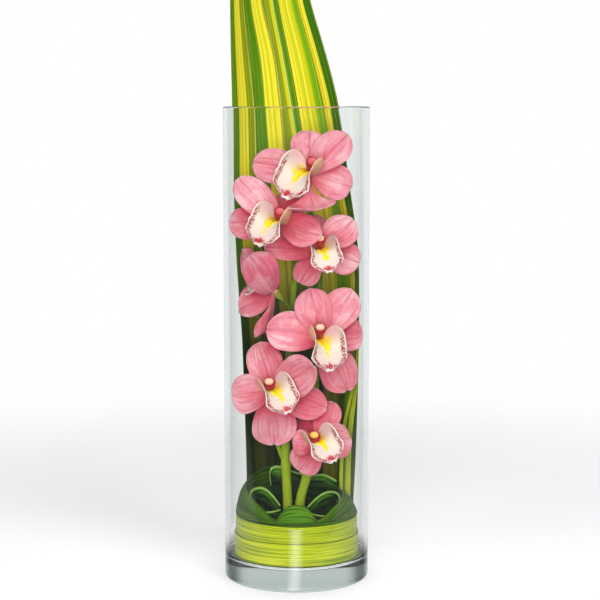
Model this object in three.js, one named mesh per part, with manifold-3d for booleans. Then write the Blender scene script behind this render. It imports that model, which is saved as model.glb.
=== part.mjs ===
// Two cut sprays of pink cymbidium orchids in a tall glass cylinder, with striped
// leaves standing at the back and leaves wound into a ring at the bottom.
// Millimetres, +Z up, the vase's axis on Z and its underside at z = 0. The front,
// which the blooms face, is -Y.
import * as THREE from "three";
import { mergeVertices } from "three/addons/utils/BufferGeometryUtils.js";
import Module from "manifold-3d";

const wasm = await Module();
wasm.setup();

const { clamp, degToRad, lerp, radToDeg, smoothstep } = THREE.MathUtils;

// Driving dimensions
const VASE = {
  height: 495,
  radius: 76,
  wall: 3.3,
  base: 22,
  footRound: 4,
  rimRound: 1.5,
  insideRound: 16,
  segments: 40,
};
const CLEARANCE = 0.3;
const LEAF_THICKNESS = 0.8;
const PETAL_THICKNESS = 1.0;
const LIP_THICKNESS = 0.9;
const RING_STEPS = 36; // facets in a full turn of a wound leaf
const BACK = 90; // plan angle of the back of the vase, in degrees
const FRONT = 270;
const WRAP_RADIUS = 65.2; // middle of the outer wound leaf
const WRAP_PITCH = 1.2; // from one wound leaf to the next

// Colours, as in the photograph
const COLOURS = {
  glass: 0xe8f0ee,
  petal: 0xdb7c92,
  lip: 0xf6e6e2,
  column: 0x9a1830,
  stem: 0x8aa31c,
  stripedLeaf: 0x4f8a16,
  blade: 0x9cb61e,
  woundLeaf: 0xb4c716,
  darkLeaf: 0x1f5a16,
};

/** A value that follows stops of [place, value], straight between them. */
function follow(stops, place) {
  for (let i = 1; i < stops.length; i += 1) {
    const [start, low] = stops[i - 1];
    const [end, high] = stops[i];
    if (place <= end) {
      return lerp(low, high, Math.max(0, (place - start) / (end - start)));
    }
  }
  return stops[stops.length - 1][1];
}

/** A point from its plan angle in degrees, its distance from the axis and its height. */
function polar(angle, radius, z) {
  return new THREE.Vector3(
    radius * Math.cos(degToRad(angle)), radius * Math.sin(degToRad(angle)), z);
}

/** Six times the volume that the triangles enclose: above zero where they face outwards. */
function signedVolume(points, triangles) {
  let volume = 0;
  for (let i = 0; i < triangles.length; i += 3) {
    const [a, b, c] = [0, 1, 2].map((k) => points[triangles[i + k]]);
    volume += a.dot(new THREE.Vector3().crossVectors(b, c));
  }
  return volume;
}

/** A geometry from points and triangles, with its faces turned outwards. */
function closedGeometry(points, triangles) {
  if (signedVolume(points, triangles) < 0) {
    triangles.reverse();
  }
  const geometry = new THREE.BufferGeometry();
  geometry.setFromPoints(points);
  geometry.setIndex(triangles);
  return geometry;
}

/** The side walls between a loop of front points and the same loop of back points. */
function wallTriangles(loop, offset) {
  return loop.flatMap((here, i) => {
    const next = loop[(i + 1) % loop.length];
    return [here, next, here + offset, next, next + offset, here + offset];
  });
}

/**
 * A thin closed solid round a grid of points on its middle surface. Both faces are split
 * into the same triangles, so that they never cross.
 */
function sheetSolid(grid, thickness) {
  const rows = grid.length;
  const columns = grid[0].length;
  const at = (i, j) => grid[clamp(i, 0, rows - 1)][clamp(j, 0, columns - 1)];
  const front = [];
  const back = [];
  for (let i = 0; i < rows; i += 1) {
    for (let j = 0; j < columns; j += 1) {
      const along = at(i + 1, j).clone().sub(at(i - 1, j));
      const across = at(i, j + 1).clone().sub(at(i, j - 1));
      const normal = along.cross(across).setLength(thickness / 2);
      front.push(grid[i][j].clone().add(normal));
      back.push(grid[i][j].clone().sub(normal));
    }
  }
  const offset = front.length;
  const triangles = [];
  for (let i = 0; i < rows - 1; i += 1) {
    for (let j = 0; j < columns - 1; j += 1) {
      const a = i * columns + j;
      const [b, c, d] = [a + 1, a + columns, a + columns + 1];
      triangles.push(a, c, b, b, c, d);
      triangles.push(b + offset, c + offset, a + offset, d + offset, c + offset, b + offset);
    }
  }
  const lastRow = (rows - 1) * columns;
  const loop = [
    ...Array.from({ length: columns - 1 }, (_, j) => j),
    ...Array.from({ length: rows - 1 }, (_, i) => i * columns + columns - 1),
    ...Array.from({ length: columns - 1 }, (_, j) => lastRow + columns - 1 - j),
    ...Array.from({ length: rows - 1 }, (_, i) => lastRow - i * columns),
  ];
  triangles.push(...wallTriangles(loop, offset));
  return closedGeometry([...front, ...back], triangles);
}

/** A closed tube along a curve, with a radius that follows its length and flat ends. */
function tubeSolid(curve, radiusAt, sides, steps) {
  const frames = curve.computeFrenetFrames(steps, false);
  const points = [];
  for (let i = 0; i <= steps; i += 1) {
    const centre = curve.getPointAt(i / steps);
    const radius = radiusAt(i / steps);
    for (let k = 0; k < sides; k += 1) {
      const turn = (2 * Math.PI * k) / sides;
      points.push(centre.clone()
        .addScaledVector(frames.normals[i], radius * Math.cos(turn))
        .addScaledVector(frames.binormals[i], radius * Math.sin(turn)));
    }
  }
  const triangles = [];
  for (let i = 0; i < steps; i += 1) {
    for (let k = 0; k < sides; k += 1) {
      const a = i * sides + k;
      const b = i * sides + ((k + 1) % sides);
      triangles.push(a, b, a + sides, b, b + sides, a + sides);
    }
  }
  const last = steps * sides;
  for (let k = 1; k < sides - 1; k += 1) {
    triangles.push(0, k + 1, k, last, last + k, last + k + 1);
  }
  return closedGeometry(points, triangles);
}

/** A smooth curve through points given as [x, y, z]. */
function curveThrough(points) {
  return new THREE.CatmullRomCurve3(points.map((p) => new THREE.Vector3(...p)), false, "centripetal");
}

/** A solid for cutting and joining, from a closed geometry. */
function solidOf(geometry) {
  const bare = geometry.clone();
  bare.deleteAttribute("normal");
  bare.deleteAttribute("uv");
  const merged = mergeVertices(bare, 1e-4);
  const solid = new wasm.Mesh({
    numProp: 3,
    vertProperties: new Float32Array(merged.attributes.position.array),
    triVerts: new Uint32Array(merged.index.array),
  });
  return new wasm.Manifold(solid);
}

/** One closed geometry that joins several overlapping ones. */
function joined(geometries) {
  const mesh = geometries.map(solidOf).reduce((whole, next) => whole.add(next)).getMesh();
  const geometry = new THREE.BufferGeometry();
  geometry.setAttribute("position", new THREE.BufferAttribute(new Float32Array(mesh.vertProperties), 3));
  geometry.setIndex(Array.from(mesh.triVerts));
  return geometry;
}

/** A named mesh in its own colour. */
function piece(name, geometry, colour, roughness = 0.5, glassy = {}) {
  geometry.computeVertexNormals();
  const material = new THREE.MeshStandardMaterial({ color: colour, roughness, metalness: 0, ...glassy });
  const mesh = new THREE.Mesh(geometry, material);
  mesh.name = name;
  return mesh;
}

// The vase

/** Points on a quarter circle in the vase's outline, from one angle to another in degrees. */
function arc(centre, radius, from, to, steps) {
  return Array.from({ length: steps + 1 }, (_, i) => {
    const angle = degToRad(lerp(from, to, i / steps));
    return new THREE.Vector2(centre[0] + radius * Math.cos(angle), centre[1] + radius * Math.sin(angle));
  });
}

/** The glass cylinder: a thick base, a rounded foot and rim, and a rounded corner inside. */
function vase() {
  const { height, radius, wall, base, footRound, rimRound, insideRound, segments } = VASE;
  const inside = radius - wall;
  const outline = [
    new THREE.Vector2(0, 0),
    ...arc([radius - footRound, footRound], footRound, -90, 0, 2),
    ...arc([radius - rimRound, height - rimRound], rimRound, 0, 90, 1),
    ...arc([inside + rimRound, height - rimRound], rimRound, 90, 180, 1),
    ...arc([inside - insideRound, base + insideRound], insideRound, 0, -90, 3),
    new THREE.Vector2(0, base),
  ];
  const turned = new THREE.LatheGeometry(outline, segments).rotateX(Math.PI / 2);
  const merged = joined([turned]);
  return piece("vase", merged, COLOURS.glass, 0.05, { transparent: true, opacity: 0.3 });
}

// Leaves wound at the bottom of the vase

/**
 * A leaf wound once round the axis as a strip, with its two ends close together at the
 * back. The profile gives rows of [radius, z] for a plan angle in degrees.
 */
function woundLeaf(name, colour, profile) {
  const turn = 0.975;
  const steps = Math.round(turn * RING_STEPS);
  const grid = Array.from({ length: steps + 1 }, (_, i) => {
    const angle = BACK + (360 * (i + 0.5 * (RING_STEPS - steps))) / RING_STEPS;
    return profile(angle).map(([radius, z]) => polar(angle, radius, z));
  });
  return piece(name, sheetSolid(grid, LEAF_THICKNESS), colour, 0.35);
}

/** The outer of the two yellow-green leaves: its lower edge follows the rounded corner. */
function lowerWrap() {
  return woundLeaf("leaf_wrap_lower", COLOURS.woundLeaf, () => [
    [59.8, 23.4], [63.8, 26.6], [WRAP_RADIUS, 32], [WRAP_RADIUS, 49.5],
  ]);
}

/** The inner yellow-green leaf, which stands higher. */
function upperWrap() {
  return woundLeaf("leaf_wrap_upper", COLOURS.woundLeaf, () => [
    [WRAP_RADIUS - WRAP_PITCH, 31], [WRAP_RADIUS - WRAP_PITCH, 49], [WRAP_RADIUS - WRAP_PITCH, 67],
  ]);
}

/**
 * The dark leaf inside them. Above them it swells out a little and folds inwards. Its
 * edge is low at the front, where its middle rises in a low dome, and high at the back.
 */
function collar() {
  const inside = WRAP_RADIUS - 2 * WRAP_PITCH;
  const edge = [
    [90, 103], [125, 106], [150, 101], [180, 92], [225, 82], [270, 76], [315, 80], [360, 86],
    [405, 89], [420, 93], [450, 103],
  ];
  return woundLeaf("leaf_collar", COLOURS.darkLeaf, (angle) => {
    const top = follow(edge, angle);
    const dome = Math.exp(-(((angle - FRONT) / 22) ** 2));
    const fold = smoothstep(top, 76, 100);
    return [
      [inside, 31],
      [inside, 67.4],
      [inside + 1.1, lerp(71, top - 20, fold)],
      [lerp(55, 61.5, fold), top - lerp(3.5, 8, fold) + 2 * dome],
      [lerp(45, 56, fold), top + 10 * dome],
    ];
  });
}

/** A leaf curled into a loop, standing on its edge, with its top edge at given heights. */
function curledLeaf(name, route, foot, steps) {
  const plan = new THREE.CatmullRomCurve3(
    route.map(([x, y, top]) => new THREE.Vector3(x, y, top)), false, "centripetal");
  const rows = [0, 0.6, 1];
  const grid = Array.from({ length: steps + 1 }, (_, i) => {
    const top = plan.getPoint(i / steps);
    return rows.map((row) => new THREE.Vector3(top.x, top.y, lerp(foot, top.z, row)));
  });
  return piece(name, sheetSolid(grid, LEAF_THICKNESS), COLOURS.darkLeaf, 0.3);
}

/** The three curled leaves: left and right of the stems, and behind them. */
function curledLeaves() {
  const left = [
    [-17, -17.5, 76], [-27, -24, 75], [-38, -26, 76], [-45, -20.2, 82], [-47.8, -10.2, 91],
    [-44, 0, 94], [-36, 5, 94], [-27, 0, 88], [-18, -12, 79],
  ];
  const right = [
    [11, -17.5, 74], [20, -24, 72], [31, -27, 72], [40.8, -22, 78], [44.7, -10, 86],
    [41, 1, 90], [32, 6, 89], [22, 0, 84], [12.5, -12, 77],
  ];
  const behind = [
    [-27, 12, 96], [-28, 18, 110], [-22, 21, 114], [-13, 22, 112], [0, 26, 106],
    [14, 30, 102], [30, 28, 103], [43.4, 23.8, 97],
  ];
  return [
    curledLeaf("curled_leaf_left", left, 44, 22),
    curledLeaf("curled_leaf_right", right, 44, 22),
    curledLeaf("curled_leaf_back", behind, 58, 14),
  ];
}

// Striped leaves standing at the back

/**
 * A long leaf standing along the wall, from stops of [z, plan angle, radius, width]. Tilt
 * brings its right edge inwards and its left edge outwards, so that neighbours overlap
 * like shingles, and fold makes it a shallow trough.
 */
function standingLeaf(name, colour, { stops, rows, columns, tilt, fold }) {
  const [low, high] = [stops[0][0], stops[stops.length - 1][0]];
  const value = (which, z) => follow(stops.map((stop) => [stop[0], stop[which]]), z);
  const eased = (which, z) => [-30, -15, 0, 15, 30].reduce(
    (sum, step) => sum + value(which, clamp(z + step, low, high)) / 5, 0);
  const grid = Array.from({ length: rows + 1 }, (_, i) => {
    const z = lerp(low, high, i / rows);
    const [angle, radius, width] = [eased(1, z), eased(2, z), value(3, z)];
    return Array.from({ length: columns + 1 }, (_, j) => {
      const share = 1 - (2 * j) / columns;
      const across = radToDeg((share * width) / 2 / radius);
      return polar(angle + across, radius + tilt * share + fold * (0.5 - Math.abs(share)), z);
    });
  });
  return piece(name, sheetSolid(grid, LEAF_THICKNESS), colour, 0.35);
}

/** The heights at which the broad leaves' angles and widths are given, below their tips. */
const LEAF_HEIGHTS = [36, 60, 120, 250, 335, 400, 497, 548, 610];

/**
 * The five broad leaves, from left to right, by plan angle and width. Ends are the last
 * stops up to the tip: height, angle and width.
 */
const STRIPED_LEAVES = [
  {
    angles: [126, 126, 126, 131, 141, 147, 147, 151, 156],
    widths: [30, 36, 38, 37, 37, 36, 36, 33, 26],
    ends: [[700, 158, 13], [760, 158, 3]],
  },
  {
    angles: [103, 103, 102, 104, 109, 112, 119, 123, 135.5],
    widths: [30, 35, 37, 37, 36, 36, 37, 35, 29],
    ends: [[740, 141, 19], [850, 143, 3]],
  },
  {
    angles: [81, 81, 79, 80, 86, 90, 101.5, 108.3, 119],
    widths: [30, 35, 37, 36, 35, 34, 31, 29, 27],
    ends: [[750, 125, 18], [870, 129, 3]],
  },
  {
    angles: [60, 60, 56, 53, 59, 65, 80, 88, 101.8],
    widths: [30, 35, 37, 36, 35, 35, 33, 30, 26],
    ends: [[730, 109, 17], [830, 113, 3]],
  },
  {
    angles: [40, 40, 34, 26, 27, 46, 62, 73.5, 89],
    widths: [30, 35, 36, 36, 35, 33, 30, 28, 24],
    ends: [[700, 97, 15], [770, 101, 3]],
  },
];
const LEAF_RADIUS = VASE.radius - VASE.wall - 3; // the broad leaves stand close to the glass

/** The five broad leaves. */
function stripedLeaves() {
  return STRIPED_LEAVES.map(({ angles, widths, ends }, index) => standingLeaf(
    `striped_leaf_${index + 1}`, COLOURS.stripedLeaf, {
      stops: [
        ...LEAF_HEIGHTS.map((z, i) => [z, angles[i], LEAF_RADIUS, widths[i]]),
        ...ends.map(([z, angle, width]) => [z, angle, LEAF_RADIUS - 1, width]),
      ],
      rows: 15,
      columns: 4,
      tilt: 1.3,
      fold: 0.3,
    }));
}

/** The two narrow blades at the right, which lean out towards the glass. */
function narrowBlades() {
  const wide = [
    [36, 33, 67.1, 9], [100, 33, 67.1, 11], [155, 30, 67.1, 11], [190, 18, 67.1, 10],
    [230, 11, 67.1, 9], [300, 7, 67.1, 2.4],
  ];
  const slim = [
    [36, 43, 67.1, 4], [100, 43, 66.8, 6], [160, 38, 65.6, 6], [185, 26, 65.6, 6],
    [212, 15, 65.6, 5], [250, 9, 65.6, 2.2],
  ];
  return [wide, slim].map((stops, index) => standingLeaf(
    `narrow_blade_${index + 1}`, COLOURS.blade, { stops, rows: 12, columns: 2, tilt: 0, fold: 0.3 }));
}

// Blooms

/** A bloom's centre. Everything else in a bloom is placed from it. */
const HEART = { radius: 5, ovaryLength: 8, ovaryRadius: 2.7 };

/** Which way a bloom faces: tipped up a little, and turned about the vertical. */
function bloomTurn({ pitch = 12, yaw = 0 }) {
  return new THREE.Euler(degToRad(-pitch), 0, degToRad(yaw), "ZXY");
}

/** What all petals and sepals share: where they start, and how their outline runs. */
const TEPAL = {
  rows: 5,
  columns: 4,
  root: 3, // from the bloom's centre
  layer: 1.1, // the petals lie this far in front of the middle, and the sepals behind it
  widest: 0.58, // share of the length
  foot: 0.32, // share of the full width at the root
  tip: 0.07,
};

/** Half the width of a petal at a share of its length: a narrow foot and a round tip. */
function tepalHalfWidth(width, t) {
  const { widest, foot, tip } = TEPAL;
  const shape = t < widest
    ? lerp(foot, 1, Math.sin((t / widest) * (Math.PI / 2)))
    : (1 - ((t - widest) / (1 - widest)) ** 2.3) ** 0.62;
  return Math.max((width / 2) * shape, width * tip);
}

/** Points along an arc that turns through an angle, with its ends a given length apart. */
function archedPath(length, turn, steps) {
  const here = new THREE.Vector2(0, 0);
  const path = [here.clone()];
  for (let i = 0; i < steps; i += 1) {
    const heading = turn * (0.5 - (i + 0.5) / steps);
    here.add(new THREE.Vector2(Math.cos(heading), Math.sin(heading)));
    path.push(here.clone());
  }
  return path.map((point) => point.multiplyScalar(length / here.length()));
}

/**
 * One petal or sepal. As seen from the front it points along its clock angle (0 right,
 * 90 up) and reaches so far from the bloom's centre; lean tips it towards the viewer.
 * Curl bends it along its length, and cup across its width. Its upper side turns the way
 * the bloom faces, or towards a direction of its own. The two petals are the inner ones,
 * in front of the three sepals.
 */
function tepal(bloom, shape) {
  const { clock, reach, width, lean = 0, curl = 20, cup = 0.18, face: towards, inner = false } = shape;
  const turn = new THREE.Quaternion().setFromEuler(bloomTurn(bloom)).invert();
  const across = Math.cos(degToRad(lean));
  const ahead = new THREE.Vector3(
    across * Math.cos(degToRad(clock)), -Math.sin(degToRad(lean)), across * Math.sin(degToRad(clock)));
  ahead.applyQuaternion(turn);
  const face = towards ? new THREE.Vector3(...towards).applyQuaternion(turn) : new THREE.Vector3(0, -1, 0);
  face.addScaledVector(ahead, -face.dot(ahead)).normalize();
  const side = new THREE.Vector3().crossVectors(ahead, face);

  const { rows, columns, root } = TEPAL;
  const layer = inner ? TEPAL.layer : -TEPAL.layer;
  const path = archedPath(reach / across - root, degToRad(curl), rows);
  const grid = path.map((point, i) => {
    const heading = degToRad(curl) * (0.5 - i / rows);
    const normal = face.clone().multiplyScalar(Math.cos(heading)).addScaledVector(ahead, -Math.sin(heading));
    const centre = ahead.clone().multiplyScalar(root + point.x).addScaledVector(face, point.y + layer);
    const half = tepalHalfWidth(width, i / rows);
    return Array.from({ length: columns + 1 }, (_, j) => {
      const share = (2 * j) / columns - 1;
      return centre.clone()
        .addScaledVector(side, share * half)
        .addScaledVector(normal, cup * half * share * share);
    });
  });
  return sheetSolid(grid, PETAL_THICKNESS);
}

/** The five petals and sepals, the heart of the bloom and the ovary behind it, in one. */
function bloomBody(bloom) {
  const heart = new THREE.IcosahedronGeometry(HEART.radius, 1);
  const behind = curveThrough([[0, 0, 0], [0, HEART.ovaryLength / 2, 0], [0, HEART.ovaryLength, 0]]);
  const ovary = tubeSolid(behind, (t) => lerp(HEART.radius * 0.7, HEART.ovaryRadius, t), 6, 2);
  return joined([heart, ovary, ...bloom.tepals.map((shape) => tepal(bloom, shape))]);
}

/**
 * The lip, by the share of its length: how steeply its middle line heads down, half its
 * width measured round its curve, and how far its sides turn up.
 */
const LIP = {
  length: 50,
  start: [4.8, 3.4],
  heading: [[0, 20], [0.25, 30], [0.45, 50], [0.7, 76], [1, 98]],
  halfWidth: [
    [0, 4.5], [0.12, 14], [0.28, 22.5], [0.45, 21], [0.58, 17.5], [0.72, 17.5], [0.84, 13.5],
    [0.94, 7.5], [1, 1.8],
  ],
  edgeBend: [[0, 30], [0.12, 78], [0.4, 84], [0.6, 44], [0.75, 24], [1, 12]],
};

/** The lip: a broad sheet whose sides stand up beside the column and whose tip hangs. */
function lipSheet() {
  const [rows, columns] = [8, 6];
  const grid = [];
  const here = new THREE.Vector2(...LIP.start);
  for (let i = 0; i <= rows; i += 1) {
    const t = i / rows;
    const heading = degToRad(follow(LIP.heading, t));
    const half = follow(LIP.halfWidth, t);
    const bend = degToRad(follow(LIP.edgeBend, t));
    const radius = half / bend;
    grid.push(Array.from({ length: columns + 1 }, (_, j) => {
      const share = (2 * j) / columns - 1;
      const rise = radius * (1 - Math.cos(share * bend));
      return new THREE.Vector3(
        radius * Math.sin(share * bend),
        -(here.x + rise * Math.sin(heading)),
        -here.y + rise * Math.cos(heading));
    }));
    const next = degToRad(follow(LIP.heading, t + 0.5 / rows));
    here.add(new THREE.Vector2(Math.cos(next), Math.sin(next)).multiplyScalar(LIP.length / rows));
  }
  return sheetSolid(grid, LIP_THICKNESS);
}

const COLUMN_RADIUS = [[0, 2.2], [0.2, 3], [0.7, 3.6], [0.88, 3.8], [0.96, 2.9], [1, 1.4]];

/** The column: a short arched rod over the lip, ending in the rounded cap. */
function columnSolid() {
  const start = -(HEART.radius + 2 * CLEARANCE);
  const route = curveThrough([[0, start, 1], [0, -12, 5], [0, -19, 8], [0, -25, 8]]);
  return tubeSolid(route, (t) => follow(COLUMN_RADIUS, t), 8, 6);
}

/** A bloom's three pieces, in the group that stands at its centre and faces its way. */
function bloomGroup(bloom, number) {
  const { lipScale = 1 } = bloom;
  const group = new THREE.Group();
  group.position.set(...bloom.centre);
  group.rotation.copy(bloomTurn(bloom));
  const mouth = new THREE.Group();
  mouth.rotation.y = degToRad(270 - bloom.lip);
  mouth.scale.setScalar(lipScale);
  mouth.position.y = -1.3 * HEART.radius * (1 - lipScale); // a smaller lip still clears the heart
  mouth.add(piece(`lip_${number}`, lipSheet(), COLOURS.lip, 0.45));
  mouth.add(piece(`column_${number}`, columnSolid(), COLOURS.column, 0.35));
  group.add(piece(`bloom_${number}`, bloomBody(bloom), COLOURS.petal, 0.55), mouth);
  return group;
}

/** The seven blooms, from the top down. Lip is the clock angle that the lip hangs at. */
const BLOOMS = [
  {
    centre: [12.2, -4, 426],
    lip: 237,
    tepals: [
      { clock: 90, reach: 46, width: 37, lean: -20, inner: true },
      { clock: 44, reach: 59, width: 31, lean: -10 },
      { clock: -20, reach: 49, width: 36, lean: -14, inner: true },
      { clock: 156, reach: 58, width: 36, lean: -12 },
      { clock: -82, reach: 38, width: 54, lean: 42, curl: -100 },
    ],
  },
  {
    centre: [-19.6, -12, 375],
    lip: 235,
    tepals: [
      { clock: 60, reach: 34, width: 30, lean: -30 },
      { clock: 130.5, reach: 62, width: 35, lean: 4, inner: true },
      { clock: 180, reach: 51, width: 33, lean: -8 },
      { clock: -14.5, reach: 47, width: 34, lean: 20, inner: true },
      { clock: -78, reach: 28, width: 26, lean: -42 },
    ],
  },
  {
    centre: [25.9, 2, 346.8],
    lip: 281,
    tepals: [
      { clock: 105, reach: 36, width: 26, lean: -25 },
      { clock: 33, reach: 42, width: 35, lean: -6, inner: true },
      { clock: -20, reach: 44, width: 36, lean: -8 },
      { clock: 238, reach: 43, width: 30, lean: -10 },
      { clock: 177, reach: 60, width: 26, lean: 10, inner: true },
    ],
  },
  {
    centre: [-22.9, 5, 301.4],
    yaw: -70,
    pitch: 44,
    lip: 270,
    lipScale: 0.8,
    tepals: [
      { clock: 92, reach: 46, width: 28, lean: 2, face: [-1, 0, -0.2] },
      { clock: 120, reach: 50, width: 40, lean: 38, curl: -36, cup: 0.1, face: [-0.2, 1, 0] },
      { clock: 131, reach: 56, width: 28, lean: -26, face: [-0.5, -0.8, 0] },
      { clock: 207, reach: 44, width: 32, lean: -16, face: [-0.2, -1, 0.4] },
      { clock: 244, reach: 48, width: 30, lean: 30, curl: -50, face: [-1, 0.3, 0.2] },
    ],
  },
  {
    centre: [24.9, -10, 254.9],
    lip: 282,
    tepals: [
      { clock: 98, reach: 52, width: 38, lean: -6 },
      { clock: 55, reach: 60, width: 38, lean: -12, inner: true },
      { clock: 177, reach: 57, width: 42, lean: 0, inner: true },
      { clock: 5, reach: 46, width: 38, lean: -16 },
      { clock: -67.5, reach: 64, width: 38, lean: -12 },
    ],
  },
  {
    centre: [-24.9, -8, 198.5],
    lip: 297,
    tepals: [
      { clock: 108, reach: 52, width: 38, lean: -16 },
      { clock: 187, reach: 44, width: 43, lean: -6, inner: true },
      { clock: 271, reach: 60, width: 46, lean: -8 },
      { clock: -18, reach: 60, width: 36, lean: -2 },
      { clock: 22, reach: 46, width: 40, lean: 30, curl: -40, inner: true },
    ],
  },
  {
    centre: [21.7, -10, 142.8],
    lip: 296,
    tepals: [
      { clock: 66, reach: 44, width: 28, lean: -24, inner: true },
      { clock: 8, reach: 36, width: 36, lean: -8 },
      { clock: 248, reach: 42, width: 36, lean: -4 },
      { clock: 132, reach: 30, width: 26, lean: -38 },
      { clock: 188, reach: 30, width: 26, lean: -8, inner: true },
    ],
  },
];

// Stems

/**
 * The two stems, from the bottom up. Each branch names its bloom by its place in BLOOMS,
 * the height where it leaves the stem and the points that it bends through.
 */
const STEMS = [
  {
    name: "stem_left",
    route: [
      [-8, -5, 22.9], [-9.5, 0, 80], [-11.5, 8, 120], [-12, 16, 170], [-8, 22, 230],
      [-3, 25, 300], [2, 26, 360], [8, 25, 410], [11, 22, 436],
    ],
    branches: [
      { bloom: 0, from: 402, via: [] },
      { bloom: 1, from: 346, via: [[-14, 10, 366]] },
      { bloom: 3, from: 280, via: [] },
      { bloom: 5, from: 116, via: [[-17.5, 11, 130], [-23, 11, 148], [-26, 9, 172]] },
    ],
  },
  {
    name: "stem_right",
    route: [
      [3.4, -8.5, 22.9], [3.5, -4, 76], [11, 4, 107], [17, 14, 150], [20, 22, 200],
      [22, 25, 250], [24, 25, 300], [26, 23, 338],
    ],
    branches: [
      { bloom: 2, from: 318, via: [] },
      { bloom: 4, from: 226, via: [] },
      { bloom: 6, from: 108, via: [[19, 6, 128]] },
    ],
  },
];
const STEM_RADIUS = [[0, 5.2], [0.5, 4.4], [0.85, 3.4], [1, 2.2]];
const BRANCH_RADIUS = 2.3;

/** The point of a route at a height. */
function atHeight(curve, z) {
  const steps = 400;
  for (let i = 0; i <= steps; i += 1) {
    const point = curve.getPointAt(i / steps);
    if (point.z >= z) {
      return point;
    }
  }
  return curve.getPointAt(1);
}

/** A branch from the stem to just behind a bloom's ovary, which it meets squarely. */
function branch(stemCurve, { bloom, from, via }) {
  const { centre } = BLOOMS[bloom];
  const back = new THREE.Vector3(0, 1, 0).applyEuler(bloomTurn(BLOOMS[bloom]));
  const place = (distance) => new THREE.Vector3(...centre).addScaledVector(back, distance).toArray();
  const start = HEART.ovaryLength + CLEARANCE;
  const route = curveThrough([
    atHeight(stemCurve, from).toArray(), ...via, place(start + 4), place(start),
  ]);
  return tubeSolid(route, () => BRANCH_RADIUS, 6, 5 + 2 * via.length);
}

/** A cut stem with its branches, standing on the glass. */
function stem({ name, route, branches }) {
  const curve = curveThrough(route);
  const main = tubeSolid(curve, (t) => follow(STEM_RADIUS, t), 8, 15);
  const parts = [main, ...branches.map((each) => branch(curve, each))];
  return piece(name, joined(parts), COLOURS.stem, 0.4);
}

const arrangement = new THREE.Group();
arrangement.add(
  vase(),
  lowerWrap(),
  upperWrap(),
  collar(),
  ...curledLeaves(),
  ...stripedLeaves(),
  ...narrowBlades(),
  ...STEMS.map(stem),
  ...BLOOMS.map((bloom, index) => bloomGroup(bloom, index + 1)),
);

export default arrangement;
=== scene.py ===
"""Fine meshes and finishes for two cut sprays of pink orchids in a tall glass cylinder.

Sizes and places are in millimetres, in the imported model's frame: +Z is up, the vase's axis
lies on Z and the blooms face -Y. A mesh is brought to metres as it is made.
"""

from __future__ import annotations

import logging
import math
from dataclasses import dataclass, field
from enum import Enum
from typing import Any, Sequence

import bpy
import numpy as np
from mathutils import Euler, Matrix, Vector
from mathutils.bvhtree import BVHTree

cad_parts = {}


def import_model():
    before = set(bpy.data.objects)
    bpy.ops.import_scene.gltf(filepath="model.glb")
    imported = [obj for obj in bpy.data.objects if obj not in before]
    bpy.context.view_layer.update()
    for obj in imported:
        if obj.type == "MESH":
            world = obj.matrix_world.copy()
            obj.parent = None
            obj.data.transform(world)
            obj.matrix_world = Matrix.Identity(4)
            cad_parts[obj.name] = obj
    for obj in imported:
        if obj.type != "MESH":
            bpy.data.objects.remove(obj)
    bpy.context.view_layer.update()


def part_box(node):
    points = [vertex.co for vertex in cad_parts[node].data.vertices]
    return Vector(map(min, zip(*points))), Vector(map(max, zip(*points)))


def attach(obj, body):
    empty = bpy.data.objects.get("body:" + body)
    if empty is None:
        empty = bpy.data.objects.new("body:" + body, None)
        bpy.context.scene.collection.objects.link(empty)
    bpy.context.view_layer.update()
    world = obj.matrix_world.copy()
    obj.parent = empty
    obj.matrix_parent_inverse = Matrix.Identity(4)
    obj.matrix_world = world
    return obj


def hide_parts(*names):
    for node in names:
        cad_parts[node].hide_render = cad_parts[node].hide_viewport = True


log = logging.getLogger("orchids")

MM = 0.001
IMAGE_SIZE = 600
UV_NAME = "surface"
SIDE_NAME = "side"
MARK_NAME = "mark"
GIRTH_NAME = "girth"

Rgb = tuple[float, float, float]
Stops = Sequence[tuple[float, float]]


class Slot(Enum):
    """The record's material slots."""

    GLASS = "glass"
    PETAL = "petal"
    LIP = "lip"
    COLUMN = "column"
    STEM = "stem"
    STRIPED_LEAF = "striped_leaf"
    BLADE = "blade"
    WOUND_LEAF = "wound_leaf"
    DARK_LEAF = "dark_leaf"


class Cap(Enum):
    """The colours of the cap at a column's end."""

    ROSE = "rose"
    CREAM = "cream"
    YELLOW = "yellow"


# Numbers and curves


def follow(stops: Stops, at: np.ndarray | float) -> np.ndarray:
    """A value that follows stops, straight between them.

    Args:
        stops: Pairs of place and value, in rising order of place.
        at: The places where the value is wanted.

    Returns:
        The value at each place.
    """
    places, values = zip(*stops)
    return np.interp(at, places, values)


def rounded(stops: Stops, at: np.ndarray, reach: float) -> np.ndarray:
    """A value that follows stops with its corners eased.

    Args:
        stops: Pairs of place and value, in rising order of place.
        at: The places where the value is wanted.
        reach: How far to each side the value is averaged.

    Returns:
        The eased value at each place.
    """
    low, high = stops[0][0], stops[-1][0]
    shifts = np.linspace(-reach, reach, 9)
    weights = np.cos(shifts / reach * math.pi / 2.4)
    total = sum(w * follow(stops, np.clip(at + s, low, high)) for s, w in zip(shifts, weights))
    return total / weights.sum()


def through(points: np.ndarray, count: int) -> np.ndarray:
    """A smooth curve, or a smooth family of curves, through points.

    Args:
        points: The points, along the first axis.
        count: How many points the result has along its first axis.

    Returns:
        Points on the curve, evenly spaced in its parameter.
    """
    points = np.asarray(points, float)
    padded = np.concatenate([[2 * points[0] - points[1]], points, [2 * points[-1] - points[-2]]])
    place = np.linspace(0, len(points) - 1, count)
    index = np.minimum(place.astype(int), len(points) - 2)
    t = (place - index).reshape((-1,) + (1,) * (points.ndim - 1))
    a, b, c, d = (padded[index + k] for k in range(4))
    return 0.5 * (2 * b + (c - a) * t + (2 * a - 5 * b + 4 * c - d) * t**2 + (3 * (b - c) + d - a) * t**3)


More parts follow.
